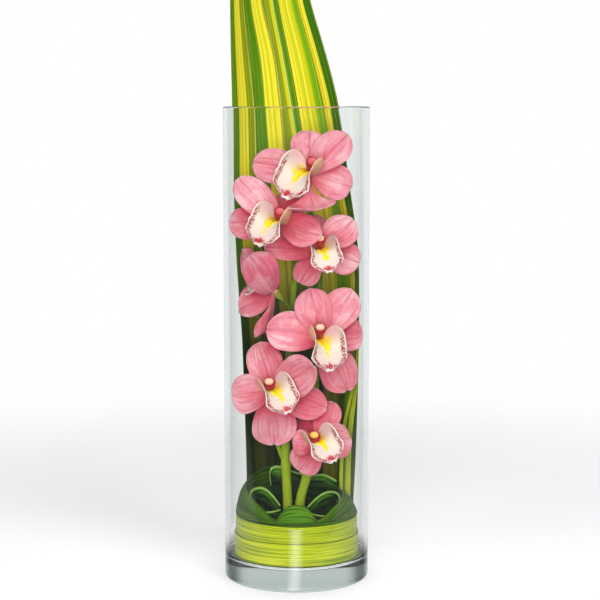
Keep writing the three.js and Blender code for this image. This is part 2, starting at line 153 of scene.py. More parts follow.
def rise(value: np.ndarray | float, low: float, high: float) -> np.ndarray:
    """A smooth step.

    Args:
        value: The values that step.
        low: Where the step starts, at 0.
        high: Where it ends, at 1.

    Returns:
        The step at each value.
    """
    t = np.clip((np.asarray(value, float) - low) / (high - low), 0, 1)
    return t * t * (3 - 2 * t)


def hump(value: np.ndarray, centre: float, width: float) -> np.ndarray:
    """A round hump of height 1.

    Args:
        value: The values along which it stands.
        centre: Where its top is.
        width: How far from the top it has fallen to a third.

    Returns:
        The hump's height at each value.
    """
    return np.exp(-(((value - centre) / width) ** 2))


def polar(angle: np.ndarray | float, radius: np.ndarray | float, z: np.ndarray | float) -> np.ndarray:
    """Points from cylindrical places.

    Args:
        angle: Plan angles in degrees.
        radius: Distances from the axis.
        z: Heights.

    Returns:
        The points, with x, y and z along the last axis.
    """
    angle, radius, z = np.broadcast_arrays(angle, radius, z)
    turn = np.radians(angle)
    return np.stack([radius * np.cos(turn), radius * np.sin(turn), z], axis=-1)


def unit(vectors: np.ndarray) -> np.ndarray:
    """The vectors along the last axis, each brought to length 1."""
    return vectors / np.maximum(np.linalg.norm(vectors, axis=-1, keepdims=True), 1e-9)


# Meshes


def grid_faces(rows: int, columns: int, closed: bool = False) -> np.ndarray:
    """Quads between the points of a grid.

    Args:
        rows: Points along the first axis.
        columns: Points along the second axis.
        closed: Whether the last column joins the first.

    Returns:
        One row of four point numbers for each quad.
    """
    i, j = np.meshgrid(np.arange(rows - 1), np.arange(columns if closed else columns - 1), indexing="ij")
    right = (j + 1) % columns
    quads = [i * columns + j, i * columns + right, (i + 1) * columns + right, (i + 1) * columns + j]
    return np.stack(quads, axis=-1).reshape(-1, 4)


def added(name: str, data: bpy.types.ID) -> bpy.types.Object:
    """Adds an object to the scene.

    Args:
        name: The object's name.
        data: Its mesh, lamp or camera.

    Returns:
        The object.
    """
    made = bpy.data.objects.new(name, data)
    bpy.context.scene.collection.objects.link(made)
    return made


def carry(mesh: bpy.types.Mesh, name: str, values: np.ndarray) -> None:
    """Gives a mesh one number for each of its points.

    Args:
        mesh: The mesh.
        name: What the number is called.
        values: The numbers.
    """
    mesh.attributes.new(name, "FLOAT", "POINT").data.foreach_set("value", values.astype(np.float32))


class Maker:
    """Gathers the points and faces of one piece, with a place on the surface for each point."""

    def __init__(self, name: str) -> None:
        """Starts an empty piece of that name."""
        self.name = name
        self.points: list[np.ndarray] = []
        self.faces: list[tuple[int, ...]] = []
        self.places: list[np.ndarray] = []
        self.sides: list[np.ndarray] = []
        self.marks: list[np.ndarray] = []
        self.count = 0

    def add(self, points: np.ndarray, faces: Sequence[Sequence[int]], places: np.ndarray,
            sides: np.ndarray, marks: np.ndarray | None = None) -> None:
        """Adds a closed surface.

        Args:
            points: Its points.
            faces: Point numbers for each face, counted in this surface.
            places: The place on the surface of each point, from 0 to 1 both ways.
            sides: 1 on the front of a sheet and 0 on its back.
            marks: For each point, how thickly it is speckled, or on a petal how much painted shade deepens
                its colour.
        """
        corners = [tuple(int(k) for k in face) for face in faces]
        volume = 0.0
        for size in {len(face) for face in corners}:
            chosen = np.array([face for face in corners if len(face) == size])
            for k in range(1, size - 1):
                a, b, c = (points[chosen[:, n]] for n in (0, k, k + 1))
                volume += float(np.einsum("ij,ij->", a, np.cross(b, c)))
        step = 1 if volume > 0 else -1
        turned = [tuple(k + self.count for k in face[::step]) for face in corners]
        self.faces.extend(turned)
        self.points.append(points)
        self.places.append(places)
        self.sides.append(sides)
        self.marks.append(np.zeros(len(points)) if marks is None else marks)
        self.count += len(points)

    def sheet(self, grid: np.ndarray, thickness: float, marks: np.ndarray | None = None) -> None:
        """Adds a thin closed sheet whose two sides meet in its margin.

        Args:
            grid: Points on its middle surface, rows along it and columns across it.
            thickness: Its thickness away from the margin.
            marks: How speckled each grid point is, or on a petal how much painted shade deepens it, on the
                front only.
        """
        rows, columns = grid.shape[:2]
        along, across = np.gradient(grid, axis=0), np.gradient(grid, axis=1)
        normal = unit(np.cross(along, across))
        u, v = np.meshgrid(np.linspace(0, 1, columns), np.linspace(0, 1, rows))
        inside = np.ones((rows, columns), bool)
        inside[[0, -1], :] = False
        inside[:, [0, -1]] = False
        offset = normal * thickness / 2
        front = (grid + offset * inside[..., None]).reshape(-1, 3)
        back = (grid - offset)[inside]
        numbers = np.arange(rows * columns)
        back_numbers = numbers.copy()
        back_numbers[inside.reshape(-1)] = rows * columns + np.arange(inside.sum())
        quads = grid_faces(rows, columns)
        faces = np.concatenate([quads, back_numbers[quads][:, ::-1]])
        place = np.stack([u, v], axis=-1).reshape(-1, 2)
        sides = np.concatenate([np.where(inside, 1.0, 0.5).reshape(-1), np.zeros(inside.sum())])
        shares = np.zeros(rows * columns) if marks is None else marks.reshape(-1)
        self.add(np.concatenate([front, back]), faces, np.concatenate([place, place[inside.reshape(-1)]]),
                 sides, np.concatenate([shares, np.zeros(inside.sum())]))

    def tube(self, route: np.ndarray, radii: np.ndarray, sides: int, up: Sequence[float],
             flatness: float = 1.0, lobes: int = 0, relief: float = 0.0) -> None:
        """Adds a closed tube along a route, with round ends.

        Args:
            route: The points that it follows.
            radii: Its radius at each point.
            sides: Points round it.
            up: A direction that its section's height keeps close to.
            flatness: Its height as a share of its width.
            lobes: How many ribs run along it.
            relief: The ribs' height as a share of the radius.
        """
        heading = unit(np.gradient(route, axis=0))
        side = unit(np.cross(heading, np.asarray(up, float)))
        top = np.cross(side, heading)
        turn = np.linspace(0, 2 * math.pi, sides, endpoint=False)
        swell = 1 + relief * np.cos(lobes * turn)
        ring = (np.cos(turn) * swell)[None, :, None] * side[:, None] \
            + (np.sin(turn) * swell * flatness)[None, :, None] * top[:, None]
        body = (route[:, None] + ring * radii[:, None, None]).reshape(-1, 3)
        steps = len(route)
        points = np.concatenate([body, route[:1], route[-1:]])
        first, last = len(body), len(body) + 1
        faces = [tuple(quad) for quad in grid_faces(steps, sides, closed=True)]
        faces += [(first, (k + 1) % sides, k) for k in range(sides)]
        faces += [(last, first - sides + k, first - sides + (k + 1) % sides) for k in range(sides)]
        around = np.tile(np.abs(turn / math.pi - 1), steps)
        share = np.repeat(np.linspace(0, 1, steps), sides)
        place = np.concatenate([np.stack([around, share], axis=-1), [[0.5, 0.0], [0.5, 1.0]]])
        self.add(points, faces, place, np.ones(len(points)))

    def build(self, material: bpy.types.Material) -> bpy.types.Object:
        """Makes the piece's object.

        Args:
            material: Its finish.

        Returns:
            The object, at the origin, with its place in its mesh.
        """
        mesh = bpy.data.meshes.new(self.name)
        mesh.from_pydata(np.concatenate(self.points) * MM, [], self.faces)
        corners = np.zeros(len(mesh.loops), int)
        mesh.loops.foreach_get("vertex_index", corners)
        places = mesh.uv_layers.new(name=UV_NAME)
        places.data.foreach_set("uv", np.concatenate(self.places)[corners].astype(np.float32).ravel())
        carry(mesh, SIDE_NAME, np.concatenate(self.sides))
        carry(mesh, MARK_NAME, np.concatenate(self.marks))
        mesh.shade_smooth()
        mesh.materials.append(material)
        return added(self.name, mesh)


def finished(piece: bpy.types.Object, slot: Slot, *nodes: str) -> None:
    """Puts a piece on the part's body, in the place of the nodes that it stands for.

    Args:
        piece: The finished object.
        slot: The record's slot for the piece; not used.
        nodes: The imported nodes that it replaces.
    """
    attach(piece, "root")
    if nodes:
        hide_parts(*nodes)
    log.info("%s: %d faces", piece.name, len(piece.data.polygons))


def finished_sheet(name: str, grid: np.ndarray, thickness: float, material: bpy.types.Material,
                   slot: Slot, *nodes: str) -> None:
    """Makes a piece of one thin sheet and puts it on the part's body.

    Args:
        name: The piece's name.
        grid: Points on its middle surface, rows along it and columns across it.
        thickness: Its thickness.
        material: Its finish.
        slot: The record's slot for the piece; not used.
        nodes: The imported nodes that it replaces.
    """
    maker = Maker(name)
    maker.sheet(grid, thickness)
    finished(maker.build(material), slot, *nodes)


# Nodes


class Value:
    """A number in a node tree that takes part in Python arithmetic."""

    def __init__(self, graph: Graph, socket: bpy.types.NodeSocket) -> None:
        """Wraps a node's output."""
        self.graph = graph
        self.socket = socket

    def _math(self, operation: str, *values: Any) -> Value:
        """The result of a Math node on the values, in their order."""
        inputs = dict(enumerate(values))
        return self.graph.value("ShaderNodeMath", {"operation": operation}, inputs)

    def __add__(self, other: Any) -> Value:
        """The sum."""
        return self._math("ADD", self, other)

    __radd__ = __add__

    def __sub__(self, other: Any) -> Value:
        """The difference."""
        return self._math("SUBTRACT", self, other)

    def __rsub__(self, other: Any) -> Value:
        """The difference, from a number."""
        return self._math("SUBTRACT", other, self)

    def __mul__(self, other: Any) -> Value:
        """The product."""
        return self._math("MULTIPLY", self, other)

    __rmul__ = __mul__

    def __truediv__(self, other: Any) -> Value:
        """The quotient."""
        return self._math("DIVIDE", self, other)

    def __rtruediv__(self, other: Any) -> Value:
        """The quotient, of a number."""
        return self._math("DIVIDE", other, self)

    def __abs__(self) -> Value:
        """The size without its sign."""
        return self._math("ABSOLUTE", self)

    def sine(self) -> Value:
        """The sine of an angle in radians."""
        return self._math("SINE", self)

    def least(self, other: Any) -> Value:
        """The smaller of the two."""
        return self._math("MINIMUM", self, other)

    def most(self, other: Any) -> Value:
        """The larger of the two."""
        return self._math("MAXIMUM", self, other)

    def rise(self, low: Any, high: Any) -> Value:
        """A smooth step.

        Args:
            low: Where it starts, at 0.
            high: Where it ends, at 1.

        Returns:
            The step.
        """
        inputs = {"Value": self, "From Min": low, "From Max": high}
        return self.graph.value("ShaderNodeMapRange", {"interpolation_type": "SMOOTHSTEP"}, inputs)

    def fall(self, low: Any, high: Any) -> Value:
        """A smooth step down: 1 below low and 0 above high."""
        return 1 - self.rise(low, high)


class Graph:
    """A node tree, and the one way that nodes are added to it."""

    def __init__(self, tree: bpy.types.NodeTree) -> None:
        """Empties the tree."""
        self.tree = tree
        self.tree.nodes.clear()

    def node(self, kind: str, settings: dict[str, Any] | None = None,
             inputs: dict[Any, Any] | None = None) -> bpy.types.Node:
        """Adds a node.

        Args:
            kind: Its type's name.
            settings: Its properties, set first. Stops are a ramp's, as place and colour.
            inputs: A value or a link for each socket, by name or number.

        Returns:
            The node.
        """
        made = self.tree.nodes.new(kind)
        for name, value in (settings or {}).items():
            if name == "stops":
                self._stops(made, value)
            else:
                setattr(made, name, value)
        for key, value in (inputs or {}).items():
            target = made.inputs[key]
            source = value.socket if isinstance(value, Value) else value
            if isinstance(source, bpy.types.NodeSocket):
                self.tree.links.new(source, target)
            else:
                target.default_value = source
        return made

    def _stops(self, ramp: bpy.types.Node, stops: Sequence[tuple[float, Rgb]]) -> None:
        """Gives a colour ramp its stops, in rising order."""
        elements = ramp.color_ramp.elements
        elements[0].position = stops[0][0]
        elements[-1].position = stops[-1][0]
        for place, _ in stops[1:-1]:
            elements.new(place)
        for element, (_, colour) in zip(elements, stops):
            element.color = (*colour, 1.0)

    def value(self, kind: str, settings: dict[str, Any] | None = None,
              inputs: dict[Any, Any] | None = None, output: Any = 0) -> Value:
        """Adds a node and gives one of its outputs.

        Args:
            kind: Its type's name.
            settings: As for node.
            inputs: As for node.
            output: The output's name or number.

        Returns:
            The output, ready for arithmetic.
        """
        return Value(self, self.node(kind, settings, inputs).outputs[output])

    def split(self, vector: Any) -> tuple[Value, ...]:
        """The three numbers of a vector."""
        parts = self.node("ShaderNodeSeparateXYZ", None, {0: vector})
        return tuple(Value(self, parts.outputs[axis]) for axis in "XYZ")


class Paint(Graph):
    """A material's nodes, with what its colours and relief are usually made of."""

    def place(self) -> tuple[Value, Value]:
        """The place on the surface: across and along, each from 0 to 1."""
        u, v, _ = self.split(self.value("ShaderNodeUVMap", {"uv_map": UV_NAME}))
        return u, v

    def carried(self, name: str) -> Value:
        """The number of that name that the mesh carries at its points."""
        return self.value("ShaderNodeAttribute", {"attribute_name": name}, None, "Fac")

    def front(self) -> Value:
        """1 on the front of a sheet and 0 on its back."""
        return self.carried(SIDE_NAME)

    def object_point(self) -> Value:
        """The point in the part's frame, in metres."""
        return self.value("ShaderNodeTexCoord", None, None, "Object")

    def height(self) -> Value:
        """The height above the floor, in metres."""
        return self.split(self.object_point())[2]

    def vector(self, x: Any, y: Any, z: Any = 0.0) -> Value:
        """A vector from three numbers."""
        return self.value("ShaderNodeCombineXYZ", None, {0: x, 1: y, 2: z})

    def noise(self, vector: Value, scale: float, detail: float = 2.0, roughness: float = 0.5) -> Value:
        """Smooth noise from 0 to 1.

        Args:
            vector: Where it is read.
            scale: Its cells in a unit of the vector.
            detail: Its finer octaves.
            roughness: How strong they are.

        Returns:
            The noise.
        """
        inputs = {"Vector": vector, "Scale": scale, "Detail": detail, "Roughness": roughness}
        return self.value("ShaderNodeTexNoise", None, inputs)

    def mix(self, factor: Any, first: Any, second: Any) -> Value:
        """A mix of two colours.

        Args:
            factor: How much of the second there is.
            first: A colour.
            second: A colour.

        Returns:
            The mixed colour.
        """
        pair = [(*colour, 1.0) if isinstance(colour, tuple) else colour for colour in (first, second)]
        inputs = {0: factor, 6: pair[0], 7: pair[1]}
        return self.value("ShaderNodeMix", {"data_type": "RGBA"}, inputs, 2)

    def bump(self, height: Value, depth: float) -> Value:
        """A relief on the surface.

        Args:
            height: Its height, from 0 to 1.
            depth: What 1 stands for, in millimetres.

        Returns:
            The normal.
        """
        inputs = {"Height": height, "Distance": depth * MM, "Strength": 1.0}
        return self.value("ShaderNodeBump", None, inputs, "Normal")

    def surface(self, inputs: dict[str, Any]) -> None:
        """Ends the material in one Principled shader.

        Args:
            inputs: Its sockets' values and links.
        """
        shader = self.node("ShaderNodeBsdfPrincipled", None, inputs)
        self.node("ShaderNodeOutputMaterial", None, {"Surface": shader.outputs[0]})


@dataclass(frozen=True)
class Finish:
    """What all finishes share: a name and a way to be made."""

    name: str

    def paint(self, paint: Paint) -> None:
        """Adds the finish's nodes."""
        raise NotImplementedError

    def make(self) -> bpy.types.Material:
        """The finish as a material."""
        material = bpy.data.materials.new(self.name)
        material.use_nodes = True
        self.paint(Paint(material.node_tree))
        return material


@dataclass(frozen=True)
class PetalFinish(Finish):
    """Pink petal: deep crimson at its foot and paler towards its tip, partly its own colour and partly
    painted shade and light; deeper crimson painted shade where other petals lie over it; pale at its margin,
    with darker veins that run along it.
    """

    body: Rgb = (0.74, 0.25, 0.31)
    # light: the pale pink of the mottling and of the tip, partly painted light.
    light: Rgb = (0.84, 0.52, 0.56)
    # Painted shade: a crimson that stands in for the shade where other petals lie over a petal.
    shaded_crimson: Rgb = (0.62, 0.05, 0.10)
    # foot: a crimson at the petal's foot, partly its own colour and partly painted shade.
    foot: Rgb = (0.58, 0.07, 0.10)
    margin: Rgb = (0.88, 0.62, 0.62)
    vein: Rgb = (0.52, 0.03, 0.08)
    back: Rgb = (0.66, 0.11, 0.18)

    def paint(self, paint: Paint) -> None:
        """Adds the nodes of the petals."""
        u, v = paint.place()
        out = abs(2 * u - 1)
        spot = paint.object_point()
        shade_deepness = paint.carried(MARK_NAME)
        cloud = paint.noise(spot, 38.0, 3.0, 0.6)
        streak = paint.noise(paint.vector(u * 22.0, v * 1.4, paint.height() * 14.0), 1.0, 2.0, 0.6)
        # Paler with the cloud and streak noise, the petal's own mottling, and towards the tip, which is
        # partly its own paler tip and partly painted light on the outer parts.
        pale = cloud.rise(0.44, 0.58) * 0.6 + v.rise(0.4, 0.95) * 0.2 + streak.rise(0.48, 0.62) * 0.3
        tone = paint.mix(pale.least(1.0), self.body, self.light)
        # Painted shade: the carried depth, cast from the other petals, mixes in the crimson.
        sunk_shade = paint.mix((shade_deepness * (0.75 + 0.5 * cloud)).least(1.0), tone, self.shaded_crimson)
        veined = paint.mix(streak.fall(0.38, 0.5) * 0.3, sunk_shade, self.vein)
        middle = out.fall(0.0, 0.06) * (0.25 + 0.5 * v.rise(0.70, 0.95)) * v.rise(0.05, 0.25)
        ribbed = paint.mix(middle, veined, self.vein)
        # Darker crimson towards the foot: partly the petal's own colour, partly painted shade near the
        # bloom's heart.
        foot_shaded = paint.mix(v.fall(0.05, 0.55) * 0.75, ribbed, self.foot)
        rim = out.rise(0.93, 0.985).most(v.rise(0.955, 0.99)) * v.rise(0.1, 0.4) * 0.7
        edged = paint.mix(rim, foot_shaded, self.margin)
        lifted = paint.mix(pale.least(1.0) * 0.5, self.back, self.light)
        behind = paint.mix(streak.fall(0.34, 0.5) * 0.25 + middle * 0.5, lifted, self.vein)
        colour = paint.mix(paint.front().rise(0.2, 0.6), behind, edged)
        grain = paint.noise(spot, 2600.0, 1.0)
        relief = streak * 0.6 + out.fall(0.0, 0.06) * -0.3 + grain * 0.05 + cloud * 0.9
        paint.surface({
            "Base Color": colour,
            "Roughness": 0.48 + 0.12 * cloud,
            "Normal": paint.bump(relief, 1.1),
            "Subsurface Weight": 0.06,
            "Subsurface Radius": (1.0, 0.35, 0.3),
            "Subsurface Scale": 0.002,
            "Specular IOR Level": 0.25,
        })


@dataclass(frozen=True)
class LipFinish(Finish):
    """White lip: a yellow stripe on its ridges, a spotted band near its rim and a red tip."""

    inner: Rgb = (0.74, 0.63, 0.53)
    blush: Rgb = (0.78, 0.50, 0.50)
    yellow: Rgb = (0.95, 0.66, 0.003)
    spots: Rgb = (0.32, 0.006, 0.03)
    rim: Rgb = (0.84, 0.72, 0.68)
    tip: Rgb = (0.52, 0.003, 0.014)
    outer: Rgb = (0.78, 0.47, 0.27)

    def paint(self, paint: Paint) -> None:
        """Adds the nodes of the lips."""
        u, v = paint.place()
        out = abs(2 * u - 1)
        spot = paint.object_point()
        flecks = paint.noise(spot, 760.0, 1.0)
        wander = out + 0.5 * (paint.noise(spot, 190.0, 1.0) - 0.5)
        hooded = v.fall(0.25, 0.48) * out.rise(0.25, 0.8)
        ground = paint.mix((v.rise(0.5, 0.95) * 0.7).most(hooded), self.inner, self.blush)
        band = out.rise(0.66, 0.76) * out.fall(0.90, 0.94) * v.rise(0.36, 0.46) * v.fall(0.93, 0.96)
        low = v.rise(0.84, 0.88) * v.fall(0.93, 0.955) * out.fall(0.5, 0.8)
        wash = paint.mix(band.most(low) * flecks.rise(0.44, 0.54), ground, self.spots)
        lined = paint.mix(out.rise(0.92, 0.95).most(v.rise(0.955, 0.965)) * v.rise(0.3, 0.45), wash, self.rim)
        width = (0.86 - 1.16 * v).most(0.05)
        stripe = (wander / width).fall(0.35, 1.2) * v.fall(0.64, 0.80)
        golden = paint.mix(stripe, lined, self.yellow)
        spread = 0.10 + 0.26 * v.rise(0.78, 0.93)
        fork = (wander / spread).fall(0.5, 1.1) * v.rise(0.78, 0.87) * v.fall(0.95, 0.965)
        tipped = paint.mix(fork * (0.6 + 0.4 * flecks.rise(0.36, 0.48)), golden, self.tip)
        behind = paint.mix(v.rise(0.5, 0.9), self.outer, self.blush)
        colour = paint.mix(paint.front().rise(0.2, 0.6), behind, tipped)
        grain = paint.noise(spot, 2200.0, 1.0)
        veins = ((u * 70.0).sine() * 0.5 + 0.5) * v.rise(0.1, 0.4)
        paint.surface({
            "Base Color": colour,
            "Roughness": 0.42 + 0.1 * grain,
            "Normal": paint.bump(grain * 0.4 + veins * 0.5, 0.12),
            "Subsurface Weight": 0.12,
            "Subsurface Radius": (1.0, 0.6, 0.45),
            "Subsurface Scale": 0.003,
            "Specular IOR Level": 0.3,
        })


@dataclass(frozen=True)
class FleshFinish(Finish):
    """Smooth waxy flesh that changes colour along its length, with small dark spots."""

    start: Rgb = (0.78, 0.30, 0.22)
    end: Rgb = (0.45, 0.01, 0.02)
    spots: Rgb = (0.30, 0.004, 0.008)
    spotted: float = 0.5
    roughness: float = 0.3

    def paint(self, paint: Paint) -> None:
        """Adds the nodes of the flesh."""
        _, v = paint.place()
        point = paint.object_point()
        flecks = paint.noise(point, 1300.0, 1.0).rise(0.55, 0.66)
        base = paint.mix(v.rise(0.1, 0.7), self.start, self.end)
        colour = paint.mix(flecks * self.spotted, base, self.spots)
        paint.surface({
            "Base Color": colour,
            "Roughness": self.roughness + 0.1 * flecks,
            "Normal": paint.bump(paint.noise(point, 700.0, 2.0), 0.15),
            "Subsurface Weight": 0.1,
            "Subsurface Radius": (1.0, 0.3, 0.2),
            "Subsurface Scale": 0.002,
            "Coat Weight": 0.15,
            "Coat Roughness": 0.2,
        })


@dataclass(frozen=True)
class StemFinish(Finish):
    """Fresh stem: yellow-green, darker higher up, with fine fibres along it."""

    low: Rgb = (0.24, 0.34, 0.006)
    high: Rgb = (0.10, 0.17, 0.008)
    fibre: Rgb = (0.42, 0.48, 0.03)
    change: tuple[float, float] = (0.10, 0.24)

    def paint(self, paint: Paint) -> None:
        """Adds the nodes of the stems."""
        point = paint.object_point()
        stretched = paint.value("ShaderNodeMapping", {"vector_type": "POINT"}, {
            "Vector": point, "Scale": (1.0, 1.0, 0.04)})
        fibres = paint.noise(stretched, 900.0, 2.0)
        blotch = paint.noise(point, 60.0, 2.0)
        tone = paint.mix(paint.height().rise(*self.change), self.low, self.high)
        colour = paint.mix(fibres.rise(0.42, 0.7) * 0.45 + blotch.rise(0.5, 0.8) * 0.15, tone, self.fibre)
        paint.surface({
            "Base Color": colour,
            "Roughness": 0.40 + 0.12 * blotch,
            "Normal": paint.bump(fibres, 0.25),
            "Specular IOR Level": 0.25,
        })


@dataclass(frozen=True)
class StripedLeafFinish(Finish):
    """Striped leaf: bands of green and yellow across it, fine veins along it, and painted shade that darkens
    it low down.
    """

    stops: tuple[tuple[float, Rgb], ...] = ()
    line: Rgb = (0.10, 0.22, 0.003)
    gleam: Rgb = (0.72, 0.74, 0.10)
    shade: Rgb = (0.004, 0.014, 0.001)
    shaded: float = 0.9

    def paint(self, paint: Paint) -> None:
        """Adds the nodes of a striped leaf."""
        u, v = paint.place()
        drift = paint.noise(paint.vector(u * 0.5, v * 5.0), 3.0, 1.0) - 0.5
        bands = paint.node("ShaderNodeValToRGB", {"stops": self.stops}, {0: u + 0.035 * drift})
        lines = paint.noise(paint.vector(u * 34.0, v * 2.0), 1.0, 3.0, 0.65)
        long = paint.noise(paint.vector(u * 11.0, v * 1.2), 1.0, 2.0)
        dark = lines.rise(0.52, 0.66) * 0.42 + long.rise(0.5, 0.66) * 0.35
        pale = lines.fall(0.36, 0.48) * 0.35
        veined = paint.mix(pale, paint.mix(dark, bands.outputs[0], self.line), self.gleam)
        # Painted shade: low down the colour darkens to near black and the specular level falls with it.
        lower = paint.height().fall(0.22, 0.40) * self.shaded
        colour = paint.mix(lower, veined, self.shade)
        paint.surface({
            "Base Color": colour,
            "Roughness": 0.42 + 0.14 * long,
            "Normal": paint.bump(lines, 0.3),
            "Specular IOR Level": 0.25 - 0.23 * lower,
        })


@dataclass(frozen=True)
class BandFinish(Finish):
    """Glossy leaf wound round: fine veins that run round with it, in three tones. It can take painted light
    on a front dome, painted shade low down in a loop's hole, and an edge colour along its upper edge, which
    on the curled leaves is a painted highlight and on the lower wound leaf a painted shadow line.
    """

    base: Rgb = (0.38, 0.44, 0.003)
    pale: Rgb = (0.66, 0.68, 0.02)
    dark: Rgb = (0.17, 0.26, 0.003)
    lines: float = 14.0
    roughness: float = 0.3
    gloss: float = 0.2
    contrast: float = 0.8
    rim: float = 0.97
    edge: Rgb | None = None
    dome: Rgb | None = None
    # Painted shade: the range across the leaf below which it darkens, for the holes of the curled loops.
    sunk_shade: tuple[float, float] | None = None

    def paint(self, paint: Paint) -> None:
        """Adds the nodes of a wound leaf."""
        u, v = paint.place()
        fine = paint.noise(paint.vector(u * self.lines, v * 4.0), 1.0, 2.0, 0.5)
        broad = paint.noise(paint.vector(u * self.lines / 4, v * 3.0), 1.0, 1.0)
        pale = fine.rise(0.50, 0.62) * self.contrast
        dark = fine.fall(0.36, 0.48) * self.contrast + broad.fall(0.3, 0.5) * self.contrast * 0.4
        ground = self.base
        # Painted light: a lighter green on the dome at the front, where the hump catches the light.
        if self.dome:
            dome_lit = abs(v - 0.5).fall(0.05, 0.075) * u.rise(0.76, 0.80)
            ground = paint.mix(dome_lit, self.base, self.dome)
        colour = paint.mix(dark.least(1.0), paint.mix(pale, ground, self.pale), self.dark)
        # Painted shade: the curled leaves darken towards their foot, in the holes of the loops.
        if self.sunk_shade:
            colour = paint.mix(u.fall(*self.sunk_shade) * 0.85, colour, self.dark)
        # Upper edge: a painted highlight on the curled leaves and a painted shadow line on the lower wound
        # leaf; a pale edge elsewhere.
        edged = paint.mix(u.rise(self.rim, self.rim + 0.015) * 0.8, colour, self.edge or self.pale)
        paint.surface({
            "Base Color": edged,
            "Roughness": self.roughness + 0.1 * broad,
            "Normal": paint.bump(fine, 0.3),
            "Specular IOR Level": self.gloss,
        })


@dataclass(frozen=True)
class GlassFinish(Finish):
    """Clear glass, a little green where it is thick. Light from the lamps passes through it."""

    tint: Rgb = (0.99, 1.0, 0.995)
    absorbed: Rgb = (0.72, 0.86, 0.80)
    density: float = 5.0
    refraction: float = 1.5
    shadow: Rgb = (0.96, 0.97, 0.965)

    def paint(self, paint: Paint) -> None:
        """Adds the nodes of the glass."""
        glass = paint.node("ShaderNodeBsdfPrincipled", None, {
            "Base Color": (*self.tint, 1.0),
            "Roughness": 0.0,
            "IOR": self.refraction,
            "Transmission Weight": 1.0,
        })
        clear = paint.node("ShaderNodeBsdfTransparent", None, {"Color": (*self.shadow, 1.0)})
        path = paint.node("ShaderNodeLightPath")
        both = paint.node("ShaderNodeMixShader", None, {
            0: path.outputs["Is Shadow Ray"], 1: glass.outputs[0], 2: clear.outputs[0]})
        depth = paint.node("ShaderNodeVolumeAbsorption", None, {
            "Color": (*self.absorbed, 1.0), "Density": self.density})
        paint.node("ShaderNodeOutputMaterial", None, {
            "Surface": both.outputs[0], "Volume": depth.outputs[0]})


@dataclass(frozen=True)
class FloorFinish(Finish):
    """Pale dull floor that is lit a little from within and fades out at a distance."""

    colour: Rgb = (0.86, 0.86, 0.86)
    glow: float = 0.26
    solid: float = 0.35
    gone: float = 1.2
    front: tuple[float, float] = (-0.24, -0.13)

    def paint(self, paint: Paint) -> None:
        """Adds the nodes of the floor."""
        point = paint.object_point()
        far = paint.value("ShaderNodeVectorMath", {"operation": "LENGTH"}, {0: point}, "Value")
        _, depth, _ = paint.split(point)
        paint.surface({
            "Base Color": (*self.colour, 1.0),
            "Roughness": 0.8,
            "Specular IOR Level": 0.0,
            "Emission Color": (1.0, 1.0, 1.0, 1.0),
            "Emission Strength": self.glow,
            "Alpha": far.fall(self.solid, self.gone) * depth.rise(*self.front),
        })


@dataclass(frozen=True)
class CardFinish(Finish):
    """Dull dark green-black card that fades out towards its top."""

    dark: Rgb = (0.01, 0.012, 0.008)
    pale: Rgb = (0.05, 0.06, 0.04)
    fade: tuple[float, float] = (0.004, 0.030)

    def paint(self, paint: Paint) -> None:
        """Adds the nodes of the card."""
        patches = paint.noise(paint.object_point(), 30.0, 1.0)
        paint.surface({
            "Base Color": paint.mix(patches, self.dark, self.pale),
            "Roughness": 0.9,
            "Alpha": paint.height().fall(*self.fade),
        })


@dataclass(frozen=True)
class StripFinish(Finish):
    """Light that is strongest along the middle of a strip that widens with distance."""

    strength: float = 5.6
    slope: float = 0.26
    near: float = -0.035
    middle: float = -0.004

    def paint(self, paint: Paint) -> None:
        """Adds the nodes of the strip."""
        across, depth, _ = paint.split(paint.object_point())
        half = (self.near - depth) * self.slope
        glow = (abs(across - self.middle) / half).fall(0.0, 1.0) * self.strength
        light = paint.node("ShaderNodeEmission", None, {"Color": (1.0, 1.0, 0.97, 1.0), "Strength": glow})
        paint.node("ShaderNodeOutputMaterial", None, {"Surface": light.outputs[0]})


# Geometry Nodes


